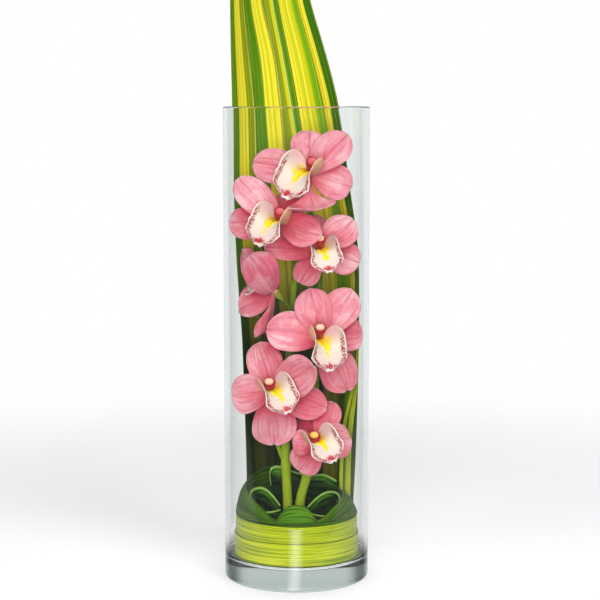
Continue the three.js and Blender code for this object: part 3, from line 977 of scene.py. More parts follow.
class GrowthTree(Graph):
    """A Geometry Nodes tree with named inputs, whose result becomes a plain mesh."""

    def __init__(self, name: str, sizes: dict[str, tuple[str, Any]]) -> None:
        """Makes a tree.

        Args:
            name: The tree's name.
            sizes: For each named input, its socket type and its value.
        """
        super().__init__(bpy.data.node_groups.new(name, "GeometryNodeTree"))
        self.sizes = {key: value for key, (_, value) in sizes.items()}
        interface = self.tree.interface
        interface.new_socket("Geometry", in_out="INPUT", socket_type="NodeSocketGeometry")
        for key, (kind, _) in sizes.items():
            interface.new_socket(key, in_out="INPUT", socket_type=kind)
        interface.new_socket("Geometry", in_out="OUTPUT", socket_type="NodeSocketGeometry")
        self.start = self.node("NodeGroupInput")

    def size(self, name: str) -> Value:
        """A named input."""
        return Value(self, self.start.outputs[name])

    def end(self, geometry: bpy.types.NodeSocket, material: bpy.types.Material) -> None:
        """Ends the tree with real, smooth, finished faces.

        Args:
            geometry: What the tree has made.
            material: Its finish.
        """
        real = self.node("GeometryNodeRealizeInstances", None, {0: geometry})
        smooth = self.node("GeometryNodeSetShadeSmooth", None, {0: real.outputs[0]})
        inputs = {"Geometry": smooth.outputs[0], "Material": material}
        dressed = self.node("GeometryNodeSetMaterial", None, inputs)
        self.node("NodeGroupOutput", None, {0: dressed.outputs[0]})

    def grow(self, name: str, base: bpy.types.Mesh, material: bpy.types.Material,
             sizes: dict[str, Any] | None = None) -> bpy.types.Object:
        """Runs the tree on a mesh.

        Args:
            name: The piece's name.
            base: The mesh that the tree starts from.
            material: The piece's finish.
            sizes: Values of named inputs that differ from the tree's own.

        Returns:
            The piece, as a plain mesh.
        """
        seedling = added(name + "_base", base)
        modifier = seedling.modifiers.new("growth", "NODES")
        modifier.node_group = self.tree
        values = {**self.sizes, **(sizes or {})}
        for item in self.tree.interface.items_tree:
            if item.in_out == "INPUT" and item.name in values:
                modifier[item.identifier] = values[item.name]
        bpy.context.view_layer.update()
        graph = bpy.context.evaluated_depsgraph_get()
        mesh = bpy.data.meshes.new_from_object(seedling.evaluated_get(graph))
        seedling.modifiers.remove(modifier)
        bpy.data.objects.remove(seedling)
        mesh.name = name
        if not mesh.materials:
            mesh.materials.append(material)
        return added(name, mesh)


def turned_tree(material: bpy.types.Material) -> GrowthTree:
    """A tree that turns an outline, given as the points of a mesh, about the Z axis.

    Args:
        material: The finish of what it makes.

    Returns:
        The tree.
    """
    tree = GrowthTree("turned", {"Segments": ("NodeSocketInt", 128), "Outline points": ("NodeSocketInt", 2)})
    points = tree.size("Outline points")
    grid = tree.node("GeometryNodeMeshGrid", None, {
        "Vertices X": tree.size("Segments") + 1, "Vertices Y": points})
    number = tree.value("GeometryNodeInputIndex")
    column = tree.value("ShaderNodeMath", {"operation": "FLOOR"}, {0: number / points})
    row = number - column * points
    position = tree.node("GeometryNodeInputPosition")
    sampled = tree.node("GeometryNodeSampleIndex", {"data_type": "FLOAT_VECTOR"}, {
        "Geometry": tree.start.outputs["Geometry"], "Value": position.outputs[0], "Index": row})
    radius, _, height = tree.split(sampled.outputs["Value"])
    angle = column * (2 * math.pi) / tree.size("Segments")
    cosine = tree.value("ShaderNodeMath", {"operation": "COSINE"}, {0: angle})
    place = tree.node("ShaderNodeCombineXYZ", None, {
        "X": radius * cosine, "Y": radius * angle.sine(), "Z": height})
    moved = tree.node("GeometryNodeSetPosition", None, {
        "Geometry": grid.outputs["Mesh"], "Position": place.outputs[0]})
    closed = tree.node("GeometryNodeMergeByDistance", None, {"Geometry": moved.outputs[0], "Distance": 1e-6})
    tree.end(closed.outputs[0], material)
    return tree


def stalk_tree(material: bpy.types.Material) -> GrowthTree:
    """A tree that makes a ribbed stalk along a line of points that carry their girth.

    Args:
        material: The finish of what it makes.

    Returns:
        The tree.
    """
    tree = GrowthTree("stalk", {
        "Steps": ("NodeSocketInt", 120),
        "Sides": ("NodeSocketInt", 24),
    })
    line = tree.node("GeometryNodeMeshToCurve", None, {"Mesh": tree.start.outputs["Geometry"]})
    even = tree.node("GeometryNodeResampleCurve", None, {
        "Curve": line.outputs[0], "Count": tree.size("Steps")})
    girth = tree.node("GeometryNodeInputNamedAttribute", {"data_type": "FLOAT"}, {"Name": GIRTH_NAME})
    section = tree.node("GeometryNodeCurvePrimitiveCircle", None, {
        "Resolution": tree.size("Sides"), "Radius": 1.0})
    stalk = tree.node("GeometryNodeCurveToMesh", None, {
        "Curve": even.outputs[0], "Profile Curve": section.outputs[0],
        "Scale": girth.outputs["Attribute"], "Fill Caps": True})
    tree.end(stalk.outputs[0], material)
    return tree


def speckle_tree(material: bpy.types.Material) -> GrowthTree:
    """A tree that scatters small flat pimples over the marked part of a surface.

    Args:
        material: The finish of the pimples.

    Returns:
        The tree.
    """
    tree = GrowthTree("speckles", {
        "Spacing": ("NodeSocketFloat", 1.25 * MM),
        "Radius": ("NodeSocketFloat", 0.85 * MM),
        "Density": ("NodeSocketFloat", 9.0e5),
        "Seed": ("NodeSocketInt", 1),
    })
    mark = tree.node("GeometryNodeInputNamedAttribute", {"data_type": "FLOAT"}, {"Name": MARK_NAME})
    spread = tree.node("GeometryNodeDistributePointsOnFaces", {"distribute_method": "POISSON"}, {
        "Mesh": tree.start.outputs["Geometry"], "Distance Min": tree.size("Spacing"),
        "Density Max": tree.size("Density"), "Density Factor": mark.outputs["Attribute"],
        "Seed": tree.size("Seed")})
    pimple = tree.node("GeometryNodeMeshIcoSphere", None, {"Radius": tree.size("Radius"), "Subdivisions": 2})
    amount = tree.node("FunctionNodeRandomValue", {"data_type": "FLOAT"}, {
        2: 0.45, 3: 1.0, "Seed": tree.size("Seed")})
    size = Value(tree, amount.outputs[1])
    shape = tree.node("ShaderNodeCombineXYZ", None, {"X": size, "Y": size * 0.6, "Z": 0.22})
    placed = tree.node("GeometryNodeInstanceOnPoints", None, {
        "Points": spread.outputs["Points"], "Instance": pimple.outputs[0],
        "Rotation": spread.outputs["Rotation"], "Scale": shape.outputs[0]})
    tree.end(placed.outputs[0], material)
    return tree


def line_mesh(name: str, points: np.ndarray, girths: np.ndarray | None = None) -> bpy.types.Mesh:
    """A mesh of points joined in a line.

    Args:
        name: Its name.
        points: The points, in order.
        girths: The radius at each point.

    Returns:
        The mesh.
    """
    mesh = bpy.data.meshes.new(name)
    mesh.from_pydata(points * MM, [(k, k + 1) for k in range(len(points) - 1)], [])
    if girths is not None:
        carry(mesh, GIRTH_NAME, girths * MM)
    return mesh


# The vase


@dataclass
class Vase:
    """The glass cylinder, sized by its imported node."""

    wall: float = 3.3
    base: float = 22.0
    foot_round: float = 4.0
    rim_round: float = 1.5
    inside_round: float = 7.0
    support: float = 0.8
    segments: int = 160
    radius: float = field(init=False)
    height: float = field(init=False)

    def __post_init__(self) -> None:
        """Takes the outer sizes from the frame."""
        _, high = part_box("vase")
        self.radius = high.x / MM
        self.height = high.z / MM

    @property
    def clear_radius(self) -> float:
        """How far from the axis a leaf or petal inside may reach."""
        return self.radius - self.wall - 0.5

    def inside(self, points: np.ndarray) -> np.ndarray:
        """Points brought in where they would touch the glass.

        Args:
            points: Any points.

        Returns:
            The same points, with those below the rim kept clear of the wall.
        """
        reach = np.hypot(points[..., 0], points[..., 1])
        over = (reach > self.clear_radius) & (points[..., 2] < self.height + 4)
        share = np.where(over, self.clear_radius / np.maximum(reach, 1e-6), 1.0)
        return points * np.stack([share, share, np.ones_like(share)], axis=-1)

    def _arc(self, centre: tuple[float, float], radius: float, start: float, end: float,
             steps: int) -> np.ndarray:
        """Points of the outline on part of a circle.

        Args:
            centre: Its centre, as distance from the axis and height.
            radius: Its radius.
            start: The angle where it starts, in degrees.
            end: The angle where it ends, in degrees.
            steps: Its steps.

        Returns:
            The points, with y 0.
        """
        turn = np.radians(np.linspace(start, end, steps + 1))
        zero = np.zeros_like(turn)
        return np.stack([centre[0] + radius * np.cos(turn), zero, centre[1] + radius * np.sin(turn)], axis=-1)

    def build(self) -> None:
        """Turns the vase and puts it in its node's place."""
        inner = self.radius - self.wall
        top = self.height - self.rim_round
        floor = self.base + self.inside_round
        keep = self.support
        outline = np.concatenate([
            [[0.0, 0.0, 0.0], [self.radius - self.foot_round - keep, 0.0, 0.0]],
            self._arc((self.radius - self.foot_round, self.foot_round), self.foot_round, -90, 0, 8),
            [[self.radius, 0.0, self.foot_round + keep], [self.radius, 0.0, top - keep]],
            self._arc((self.radius - self.rim_round, top), self.rim_round, 0, 90, 6),
            self._arc((inner + self.rim_round, top), self.rim_round, 90, 180, 6),
            [[inner, 0.0, top - keep], [inner, 0.0, floor + keep]],
            self._arc((inner - self.inside_round, floor), self.inside_round, 0, -90, 14),
            [[inner - self.inside_round - keep, 0.0, self.base], [0.0, 0.0, self.base]],
        ])
        glass = GlassFinish("clear_glass").make()
        piece = turned_tree(glass).grow("glass_cylinder", line_mesh("outline", outline), glass, {
            "Segments": self.segments, "Outline points": len(outline)})
        facing_out(piece)
        finished(piece, Slot.GLASS, "vase")


def facing_out(piece: bpy.types.Object) -> None:
    """Turns a closed mesh's faces outwards.

    Args:
        piece: The object whose mesh is turned where it needs to be.
    """
    mesh = piece.data
    mesh.calc_loop_triangles()
    points = np.array([v.co for v in mesh.vertices])
    triangles = np.array([t.vertices for t in mesh.loop_triangles])
    a, b, c = (points[triangles[:, k]] for k in range(3))
    if float(np.einsum("ij,ij->i", a, np.cross(b, c)).sum()) < 0:
        mesh.flip_normals()


# Leaves


@dataclass(frozen=True)
class StandingLeaf:
    """A long leaf that stands along the wall."""

    stops: tuple[tuple[float, float, float, float], ...]
    tilt: float
    fold: float
    rows: int = 150
    columns: int = 22
    thickness: float = 0.7

    def grid(self) -> np.ndarray:
        """Points on its middle surface, from its foot to its tip."""
        low, high = self.stops[0][0], self.stops[-1][0]
        heights = low + (high - low) * np.linspace(0, 1, self.rows)
        angle, radius = (rounded([(s[0], s[k]) for s in self.stops], heights, 30.0) for k in (1, 2))
        width = rounded([(s[0], s[3]) for s in self.stops], heights, 8.0)
        share = np.linspace(1, -1, self.columns)[None, :]
        across = np.degrees(share * width[:, None] / 2 / radius[:, None])
        reach = radius[:, None] + self.tilt * share + self.fold * (0.5 - np.abs(share))
        return polar(angle[:, None] + across, reach, heights[:, None])


@dataclass
class StripedLeaves:
    """The five broad striped leaves at the back, from left to right."""

    vase: Vase
    heights: tuple[float, ...] = (36, 60, 120, 250, 335, 400, 497, 548, 610)
    tilt: float = 1.3
    fold: float = 0.3

    GREEN = (0.075, 0.22, 0.002)
    DEEP = (0.030, 0.13, 0.002)
    BRIGHT = (0.17, 0.37, 0.003)
    # Painted shade: the olive bands stand where a leaf's fold or the leaf in front of it shades the leaf.
    OLIVE_SHADE = (0.25, 0.30, 0.003)
    MUSTARD = (0.66, 0.62, 0.006)
    YELLOW = (0.92, 0.79, 0.035)
    ORANGE = (0.84, 0.58, 0.02)
    EDGE = (0.86, 0.86, 0.25)

    def shapes(self) -> list[tuple[tuple[float, ...], tuple[float, ...], tuple[tuple[float, ...], ...]]]:
        """For each leaf its plan angles and widths by height, and its last stops up to the tip."""
        return [
            ((126, 126, 126, 131, 140, 145, 146, 151, 156), (30, 36, 38, 39, 41, 41, 38, 33, 26),
             ((700, 158, 13), (760, 158, 3))),
            ((103, 103, 102, 104, 109, 113, 119, 123, 135.5), (30, 35, 37, 39, 40, 40, 38, 35, 29),
             ((740, 141, 19), (850, 143, 3))),
            ((81, 81, 79, 80, 86, 90, 101.5, 108.3, 119), (30, 35, 37, 36, 35, 34, 31, 29, 27),
             ((750, 125, 18), (870, 129, 3))),
            ((60, 60, 56, 53, 59, 65, 80, 88, 101.8), (30, 35, 37, 38, 39, 38, 34, 30, 26),
             ((730, 109, 17), (830, 113, 3))),
            ((40, 40, 34, 27, 29, 47, 62, 73.5, 89), (30, 35, 36, 41, 43, 39, 32, 28, 24),
             ((700, 97, 15), (770, 101, 3))),
        ]

    def stripes(self) -> list[tuple[float, tuple[tuple[float, Rgb], ...]]]:
        """For each leaf, how much painted shade darkens its foot, and its stripes from its left edge to its
        right.
        """
        return [
            (0.96, self._bands((0.33, self.GREEN), (0.72, self.YELLOW), (0.95, self.OLIVE_SHADE),
                               (1.0, self.EDGE))),
            (0.96, self._bands((0.50, self.GREEN), (0.74, self.YELLOW), (0.80, self.MUSTARD),
                               (0.92, self.YELLOW), (0.97, self.OLIVE_SHADE), (1.0, self.EDGE))),
            (0.94, self._bands((0.30, self.DEEP), (0.62, self.OLIVE_SHADE), (0.74, self.MUSTARD),
                               (0.77, self.EDGE), (1.0, self.GREEN))),
            (0.80, self._bands((0.10, self.GREEN), (0.40, self.YELLOW), (0.50, self.MUSTARD),
                               (0.62, self.YELLOW), (0.76, self.MUSTARD), (1.0, self.BRIGHT))),
            (0.30, self._bands((0.38, self.BRIGHT), (0.50, self.ORANGE), (0.64, self.YELLOW),
                               (1.0, self.DEEP))),
        ]

    def _bands(self, *bands: tuple[float, Rgb]) -> tuple[tuple[float, Rgb], ...]:
        """A ramp's stops from bands that each end at a share of the width."""
        soft = 0.012
        stops: list[tuple[float, Rgb]] = [(0.0, bands[0][1])]
        for (end, colour), (_, following) in zip(bands, bands[1:]):
            stops += [(end - soft, colour), (end + soft, following)]
        return tuple(stops + [(1.0, bands[-1][1])])

    def build(self) -> None:
        """Makes the five leaves."""
        radius = self.vase.radius - self.vase.wall - 3
        for index, ((angles, widths, ends), (shaded, stops)) in enumerate(zip(self.shapes(), self.stripes())):
            stations = [(z, a, radius, w) for z, a, w in zip(self.heights, angles, widths)]
            stations += [(z, a, radius - 1, w) for z, a, w in ends]
            leaf = StandingLeaf(tuple(stations), self.tilt, self.fold)
            finish = StripedLeafFinish(f"striped_{index + 1}", stops=stops, shaded=shaded).make()
            finished_sheet(f"long_leaf_{index + 1}", leaf.grid(), leaf.thickness, finish,
                           Slot.STRIPED_LEAF, f"striped_leaf_{index + 1}")


@dataclass
class NarrowBlades:
    """The two narrow blades at the right."""

    wide: tuple[tuple[float, float, float, float], ...] = (
        (36, 33, 67.1, 9), (100, 33, 67.1, 11), (155, 30, 67.1, 11), (190, 18, 67.1, 10),
        (230, 11, 67.1, 9), (300, 7, 67.1, 2.4))
    slim: tuple[tuple[float, float, float, float], ...] = (
        (36, 43, 67.1, 4), (100, 43, 66.8, 6), (160, 38, 65.6, 6), (185, 26, 65.6, 6),
        (212, 15, 65.6, 5), (250, 9, 65.6, 2.2))
    stops: tuple[tuple[float, Rgb], ...] = (
        (0.0, (0.40, 0.62, 0.006)), (0.3, (0.62, 0.78, 0.01)), (0.62, (0.88, 0.88, 0.02)),
        (1.0, (0.62, 0.76, 0.01)))

    def build(self) -> None:
        """Makes the two blades."""
        finish = StripedLeafFinish("blade", stops=self.stops, shaded=0.0).make()
        for index, stops in enumerate((self.wide, self.slim)):
            leaf = StandingLeaf(stops, 0.0, 0.3, rows=80, columns=10)
            finished_sheet(f"slim_leaf_{index + 1}", leaf.grid(), leaf.thickness, finish,
                           Slot.BLADE, f"narrow_blade_{index + 1}")


@dataclass
class Nest:
    """The leaves wound into a ring at the bottom, and the leaves curled inside it."""

    radius: float = 65.2
    pitch: float = 1.2
    thickness: float = 0.8
    turn: float = 0.975
    steps: int = 220
    back: float = 90.0
    front: float = 270.0
    edge: Stops = (
        (90, 103), (125, 106), (150, 101), (180, 92), (218, 79), (238, 68), (270, 68), (302, 68),
        (322, 77), (360, 86), (405, 89), (420, 93), (450, 103))

    def angles(self) -> np.ndarray:
        """Plan angles along a wound leaf, which starts and ends at the back."""
        gap = (1 - self.turn) / 2
        return self.back + 360 * np.linspace(gap, 1 - gap, self.steps)

    def wound(self, profile: Sequence[tuple[Any, Any]], count: int) -> np.ndarray:
        """The middle surface of a wound leaf.

        Args:
            profile: Distance from the axis and height of each row, one or many per angle.
            count: Points across the leaf, from its lower edge to its upper.

        Returns:
            The points, rows along the leaf.
        """
        angles = self.angles()
        rows = [np.broadcast_to(np.stack(np.broadcast_arrays(r, z), axis=-1), (self.steps, 2))
                for r, z in profile]
        smooth = through(np.stack(rows), count)
        return np.swapaxes(polar(angles, smooth[..., 0], smooth[..., 1]), 0, 1)

    def lower(self) -> np.ndarray:
        """The outer yellow-green leaf, whose lower edge follows the rounded glass."""
        wave = 0.35 * np.sin(np.radians(self.angles() * 3))
        r = self.radius
        return self.wound([(r - 1.2, 22.9), (r - 0.2, 26), (r, 32), (r + 0.1, 41), (r, 49.3 + wave)], 22)

    def upper(self) -> np.ndarray:
        """The inner yellow-green leaf, which stands higher."""
        wave = 0.4 * np.sin(np.radians(self.angles() * 2 + 40))
        r = self.radius - self.pitch
        return self.wound([(r, 31), (r, 43), (r, 55), (r, 66.6 + wave)], 22)

    def collar(self) -> np.ndarray:
        """The dark leaf inside them, folded in above them, with a low dome at the front."""
        angles = self.angles()
        inside = self.radius - 2 * self.pitch
        top = rounded(self.edge, angles, 12.0)
        dome = rounded(((0, 1), (7, 0.97), (13, 0.86), (19, 0.6), (23, 0.32), (27, 0), (200, 0)),
                       np.abs(angles - self.front), 2.5)
        fold = rise(top, 76, 100)
        return self.wound([
            (inside, 31),
            (inside, 50),
            (inside, 67.4),
            (inside + 1.1, 71 + (top - 91) * fold),
            (55 + 6.5 * fold, top - 3.5 - 4.5 * fold + 2 * dome),
            (45 + 11 * fold, top + 17.5 * dome),
        ], 44)

    def underneath(self) -> np.ndarray:
        """The dark leaf ends that cover the glass under the ring, turned up a little at the wall."""
        reach = np.linspace(6.0, 70.3, 26)[None, :]
        lift = 22.7 + 2.1 * rise(reach, 62.0, 71.0)
        return polar(self.angles()[:, None], reach, lift)

    def curled(self, route: Sequence[tuple[float, float, float]], foot: float, roll: float) -> np.ndarray:
        """The middle surface of a leaf curled into a loop that stands on its edge.

        Args:
            route: Plan place and height of its upper edge, point by point.
            foot: The height of its lower edge.
            roll: How far its upper edge leans out.

        Returns:
            The points, rows along the leaf.
        """
        top = through(np.array(route, float), 110)
        heading = unit(np.gradient(top[:, :2], axis=0))
        out = np.stack([heading[:, 1], -heading[:, 0]], axis=-1)
        middle = top[:, :2].mean(axis=0)
        out *= np.sign(np.sum(out * (top[:, :2] - middle), axis=-1, keepdims=True).sum())
        share = np.linspace(0, 1, 26)
        lean = roll * share**5
        rows = foot + (top[:, None, 2] - foot) * share[None, :]
        dip = 1.2 * share**9
        plan = top[:, None, :2] + out[:, None] * (lean - roll * 0.25)[None, :, None]
        return np.concatenate([plan, (rows - dip[None, :])[..., None]], axis=-1)

    def build(self) -> None:
        """Makes the three wound leaves and the three curled ones."""
        # The lower wound leaf's dark upper edge is a painted shadow line under the upper leaf.
        yellow = BandFinish("wound_leaf", lines=27.0, rim=0.965, edge=(0.05, 0.08, 0.002))
        paler = BandFinish("wound_leaf_upper", base=(0.33, 0.40, 0.004), lines=33.0)
        under = BandFinish("leaf_under", base=(0.03, 0.07, 0.003), pale=(0.10, 0.17, 0.006),
                           dark=(0.008, 0.022, 0.001), gloss=0.05)
        # The collar's dome colour is painted light on its front hump.
        dark = BandFinish("collar_leaf", base=(0.032, 0.09, 0.001), pale=(0.09, 0.20, 0.002),
                          dark=(0.006, 0.022, 0.001), lines=44.0, roughness=0.6, gloss=0.08, contrast=1.0,
                          dome=(0.07, 0.20, 0.006))
        # The curled leaves' light upper edge is a painted highlight on the rolled margin, and their dark foot
        # is painted shade in the holes of the loops.
        loop = BandFinish("curled_leaf", base=(0.018, 0.08, 0.002), pale=(0.10, 0.26, 0.015),
                          dark=(0.001, 0.006, 0.0005), lines=12.0, roughness=0.22, gloss=0.12, rim=0.93,
                          edge=(0.30, 0.50, 0.10), sunk_shade=(0.70, 0.90))
        wound = (
            ("wound_leaf_lower", "leaf_wrap_lower", self.lower(), yellow, Slot.WOUND_LEAF),
            ("wound_leaf_upper", "leaf_wrap_upper", self.upper(), paler, Slot.WOUND_LEAF),
            ("collar_leaf", "leaf_collar", self.collar(), dark, Slot.DARK_LEAF),
        )
        for name, node, grid, finish, slot in wound:
            finished_sheet(name, grid, self.thickness, finish.make(), slot, node)
        finished_sheet("leaf_under_nest", self.underneath(), 0.6, under.make(), Slot.DARK_LEAF)
        curled = (
            ("left", 44.0, 1.6, (
                (-17, -17.5, 76), (-27, -24, 75), (-38, -26, 76), (-45, -20.2, 82), (-47.8, -10.2, 91),
                (-44, 0, 94), (-36, 5, 94), (-27, 0, 88), (-18, -12, 79))),
            ("right", 44.0, 1.6, (
                (11, -17.5, 74), (20, -24, 72), (31, -27, 72), (40.8, -22, 78), (44.7, -10, 86),
                (41, 1, 90), (32, 6, 89), (22, 0, 84), (12.5, -12, 77))),
            ("back", 58.0, 0.8, (
                (-27, 12, 96), (-28, 18, 110), (-22, 21, 114), (-13, 22, 112), (0, 26, 106),
                (14, 30, 102), (30, 28, 103), (43.4, 23.8, 97))),
        )
        material = loop.make()
        for side, foot, roll, route in curled:
            finished_sheet(f"loop_leaf_{side}", self.curled(route, foot, roll), self.thickness, material,
                           Slot.DARK_LEAF, f"curled_leaf_{side}")


# Blooms


@dataclass(frozen=True)
class Tepal:
    """One petal or sepal, by where it points as seen from the front."""

    clock: float
    reach: float
    width: float
    lean: float = 0.0
    curl: float = 20.0
    cup: float = 0.18
    face: tuple[float, float, float] | None = None
    inner: bool = False
    # depth: how deep a petal's colour is all over, set petal by petal: partly its own tone, partly painted
    # shade for petals that lie back.
    depth: float = 0.15
    foot: float = 0.38
    widest: float = 0.58
    flare: float = 1.0


@dataclass(frozen=True)
class TepalForm:
    """What all petals and sepals share."""

    rows: int = 34
    columns: int = 25
    root: float = 3.0
    layer: float = 1.1
    tip: float = 0.05
    thickness: float = 0.9
    groove: float = 0.6
    ruffle: float = 1.1
    swell: float = 1.3
    uneven: float = 0.07

    def half_width(self, tepal: Tepal, t: np.ndarray) -> np.ndarray:
        """Half the width along a petal: a narrow foot and a round tip.

        Args:
            tepal: The petal.
            t: Shares of the length.

        Returns:
            Half the width at each share.
        """
        swing = np.sin(np.minimum(t / tepal.widest, 1) * math.pi / 2) ** tepal.flare
        rising = tepal.foot + (1 - tepal.foot) * swing
        falling = (1 - np.clip((t - tepal.widest) / (1 - tepal.widest), 0, 1) ** 2.3) ** 0.62
        half = tepal.width / 2 * np.where(t < tepal.widest, rising, falling)
        return np.maximum(half, tepal.width * self.tip)

    def arch(self, length: float, curl: float) -> tuple[np.ndarray, np.ndarray]:
        """The line along the middle of a petal, from the side.

        Args:
            length: Its length from end to end.
            curl: How far it turns, in radians.

        Returns:
            Its points, as distance along and height, and its heading at each.
        """
        t = np.linspace(0, 1, self.rows)
        middle = curl * (0.5 - (t[1:] + t[:-1]) / 2)
        steps = np.stack([np.cos(middle), np.sin(middle)], axis=-1)
        path = np.concatenate([[[0.0, 0.0]], np.cumsum(steps, axis=0)])
        return path * length / np.linalg.norm(path[-1]), curl * (0.5 - t)


@dataclass(frozen=True)
class LipForm:
    """The lip, by the share of its length."""

    rows: int = 64
    columns: int = 61
    length: float = 46.0
    thickness: float = 0.8
    start: tuple[float, float] = (4.4, 2.6)
    heading: Stops = ((0, 8), (0.25, 18), (0.40, 38), (0.54, 66), (0.75, 82), (0.9, 80), (1, 62))
    half_width: Stops = (
        (0, 7), (0.06, 11), (0.12, 16), (0.20, 21.5), (0.30, 25.5), (0.40, 25.5), (0.48, 22.5), (0.55, 19.5),
        (0.63, 20), (0.71, 20), (0.77, 18), (0.83, 14.5), (0.89, 10), (0.94, 6), (0.98, 3), (1, 1.6))
    edge_bend: Stops = (
        (0, 76), (0.06, 92), (0.12, 100), (0.20, 105), (0.30, 105), (0.40, 98), (0.48, 82), (0.56, 56),
        (0.64, 38), (0.74, 25), (0.85, 16), (1, 8))
    ridge_height: float = 1.5
    ruffle: float = 1.1

    def grid(self, seed: int) -> tuple[np.ndarray, np.ndarray]:
        """The lip's middle surface, in the bloom's own frame.

        Args:
            seed: Shifts the ruffles, so that no two lips are alike.

        Returns:
            The points, and how thickly each is speckled.
        """
        t = np.linspace(0, 1, self.rows)
        heading = np.radians(rounded(self.heading, t, 0.06))
        step = self.length / (self.rows - 1)
        middle = (heading[1:] + heading[:-1]) / 2
        line = np.concatenate([[self.start], self.start + np.cumsum(
            np.stack([np.cos(middle), np.sin(middle)], axis=-1) * step, axis=0)])
        half = rounded(self.half_width, t, 0.035)
        bend = np.radians(rounded(self.edge_bend, t, 0.05))
        share = np.linspace(-1, 1, self.columns)[None, :]
        t2 = t[:, None]
        radius = (half / bend)[:, None]
        across = radius * np.sin(share * bend[:, None])
        up = radius * (1 - np.cos(share * bend[:, None]))
        up += self.ridge_height * (hump(share, -0.13, 0.06) + hump(share, 0.13, 0.06)) \
            * rise(t2, 0.06, 0.2) * (1 - rise(t2, 0.42, 0.62))
        waves = np.sin(t2 * 46 + share * 2.0 + seed) + 0.6 * np.sin(t2 * 83 + seed * 1.7)
        up += self.ruffle * 0.6 * waves * np.abs(share) ** 5 * rise(t2, 0.35, 0.6)
        up -= 2.6 * np.abs(share) ** 4 * rise(t2, 0.5, 0.7)
        sine, cosine = np.sin(heading)[:, None], np.cos(heading)[:, None]
        grid = np.stack([
            across, -(line[:, :1] + up * sine), -line[:, 1:] + up * cosine], axis=-1)
        band = rise(np.abs(share), 0.66, 0.74) * (1 - rise(np.abs(share), 0.90, 0.94))
        speckle = band * rise(t2, 0.40, 0.48) * (1 - rise(t2, 0.93, 0.96))
        front = rise(t2, 0.82, 0.86) * (1 - rise(t2, 0.92, 0.95)) * (1 - rise(np.abs(share), 0.55, 0.8))
        return grid, np.clip(np.maximum(speckle, 0.8 * front), 0, 1)


@dataclass(frozen=True)
class Bloom:
    """One open bloom."""

    number: int
    centre: tuple[float, float, float]
    lip: float
    tepals: tuple[Tepal, ...]
    yaw: float = 0.0
    pitch: float = 12.0
    lip_scale: float = 1.0
    lip_yaw: float = 0.0
    lip_pitch: float = 0.0
    cap: Cap = Cap.CREAM

    HEART = 5.0
    LARGEST_COLUMN = 1.0
    SWING = -0.3
    OVARY_LENGTH = 8.0
    OVARY_RADIUS = 2.7

    @property
    def column_scale(self) -> float:
        """The column's size, which follows only a small lip's."""
        return min(self.lip_scale, self.LARGEST_COLUMN)

    def turn(self) -> np.ndarray:
        """The matrix that turns the bloom to face its way."""
        about_z = Matrix.Rotation(math.radians(self.yaw), 3, "Z")
        about_x = Matrix.Rotation(math.radians(-self.pitch), 3, "X")
        return np.array(about_z @ about_x)

    def placed(self, local: np.ndarray) -> np.ndarray:
        """Points in the bloom's own frame, put in their place."""
        return local @ self.turn().T + np.array(self.centre)

    def in_mouth(self, local: np.ndarray, turned: bool = False) -> np.ndarray:
        """Points of the lip and column, put in their place.

        Args:
            local: The points of a lip that hangs straight down.
            turned: Whether they turn aside and up with the lip.

        Returns:
            The points in the part's frame.
        """
        roll = Matrix.Rotation(math.radians(270 - self.lip), 3, "Y")
        scale = self.lip_scale if turned else self.column_scale
        shift = np.array([0, -1.3 * self.HEART * (1 - scale), 0])
        if turned:
            roll = roll @ Matrix.Rotation(math.radians(self.lip_yaw), 3, "Z") \
                @ Matrix.Rotation(math.radians(-self.lip_pitch), 3, "X")
            shift[0] = self.SWING * self.lip_yaw
        return self.placed(local * scale @ np.array(roll).T + shift)

    def tepal_grid(self, tepal: Tepal, form: TepalForm, seed: int) -> np.ndarray:
        """The middle surface of a petal or sepal.

        Args:
            tepal: The petal or sepal.
            form: What all of them share.
            seed: Shifts its ruffles.

        Returns:
            The points in the part's frame, rows from its root to its tip.
        """
        back = self.turn().T
        clock, lean = math.radians(tepal.clock), math.radians(tepal.lean)
        ahead = back @ np.array([
            math.cos(lean) * math.cos(clock), -math.sin(lean), math.cos(lean) * math.sin(clock)])
        face = back @ np.array(tepal.face) if tepal.face else np.array([0.0, -1.0, 0.0])
        face = unit(face - ahead * np.dot(face, ahead))
        side = np.cross(face, ahead)
        path, heading = form.arch(tepal.reach / math.cos(lean) - form.root, math.radians(tepal.curl))
        t = np.linspace(0, 1, form.rows)
        half = form.half_width(tepal, t)[:, None]
        share = np.sin(np.linspace(-1, 1, form.columns) * math.pi / 2)[None, :]
        normal = np.cos(heading)[:, None] * face - np.sin(heading)[:, None] * ahead
        layer = form.layer if tepal.inner else -form.layer
        centre = ahead * (form.root + path[:, :1]) + face * (path[:, 1:] + layer)
        t2 = t[:, None]
        lift = tepal.cup * half * share**2
        lift = lift - form.groove * hump(share, 0.0, 0.07) * rise(t2, 0.05, 0.3) * (1 - 0.5 * t2)
        lift = lift + 0.07 * np.cos(share * 13 + seed) * rise(t2, 0.1, 0.4) * (1 - np.abs(share))
        waves = np.sin(t2 * 9 + seed * 2.1 + share) + 0.5 * np.sin(t2 * 17 + seed)
        lift = lift + form.ruffle * waves * np.abs(share) ** 3 * rise(t2, 0.25, 0.6)
        rolling = np.sin(share * 2.6 + seed * 2.7) * np.sin(t2 * 4.4 + seed * 1.3)
        lift = lift + form.swell * rolling * rise(t2, 0.15, 0.5)
        half = half * (1 + form.uneven * np.sin(t2 * 4.6 + seed * 1.9 + np.sign(share)))
        local = centre[:, None] + side * (share * half)[..., None] + normal[:, None] * lift[..., None]
        return self.placed(local)

    def back_direction(self) -> np.ndarray:
        """The direction behind the bloom, in the part's frame."""
        return self.turn() @ np.array([0.0, 1.0, 0.0])


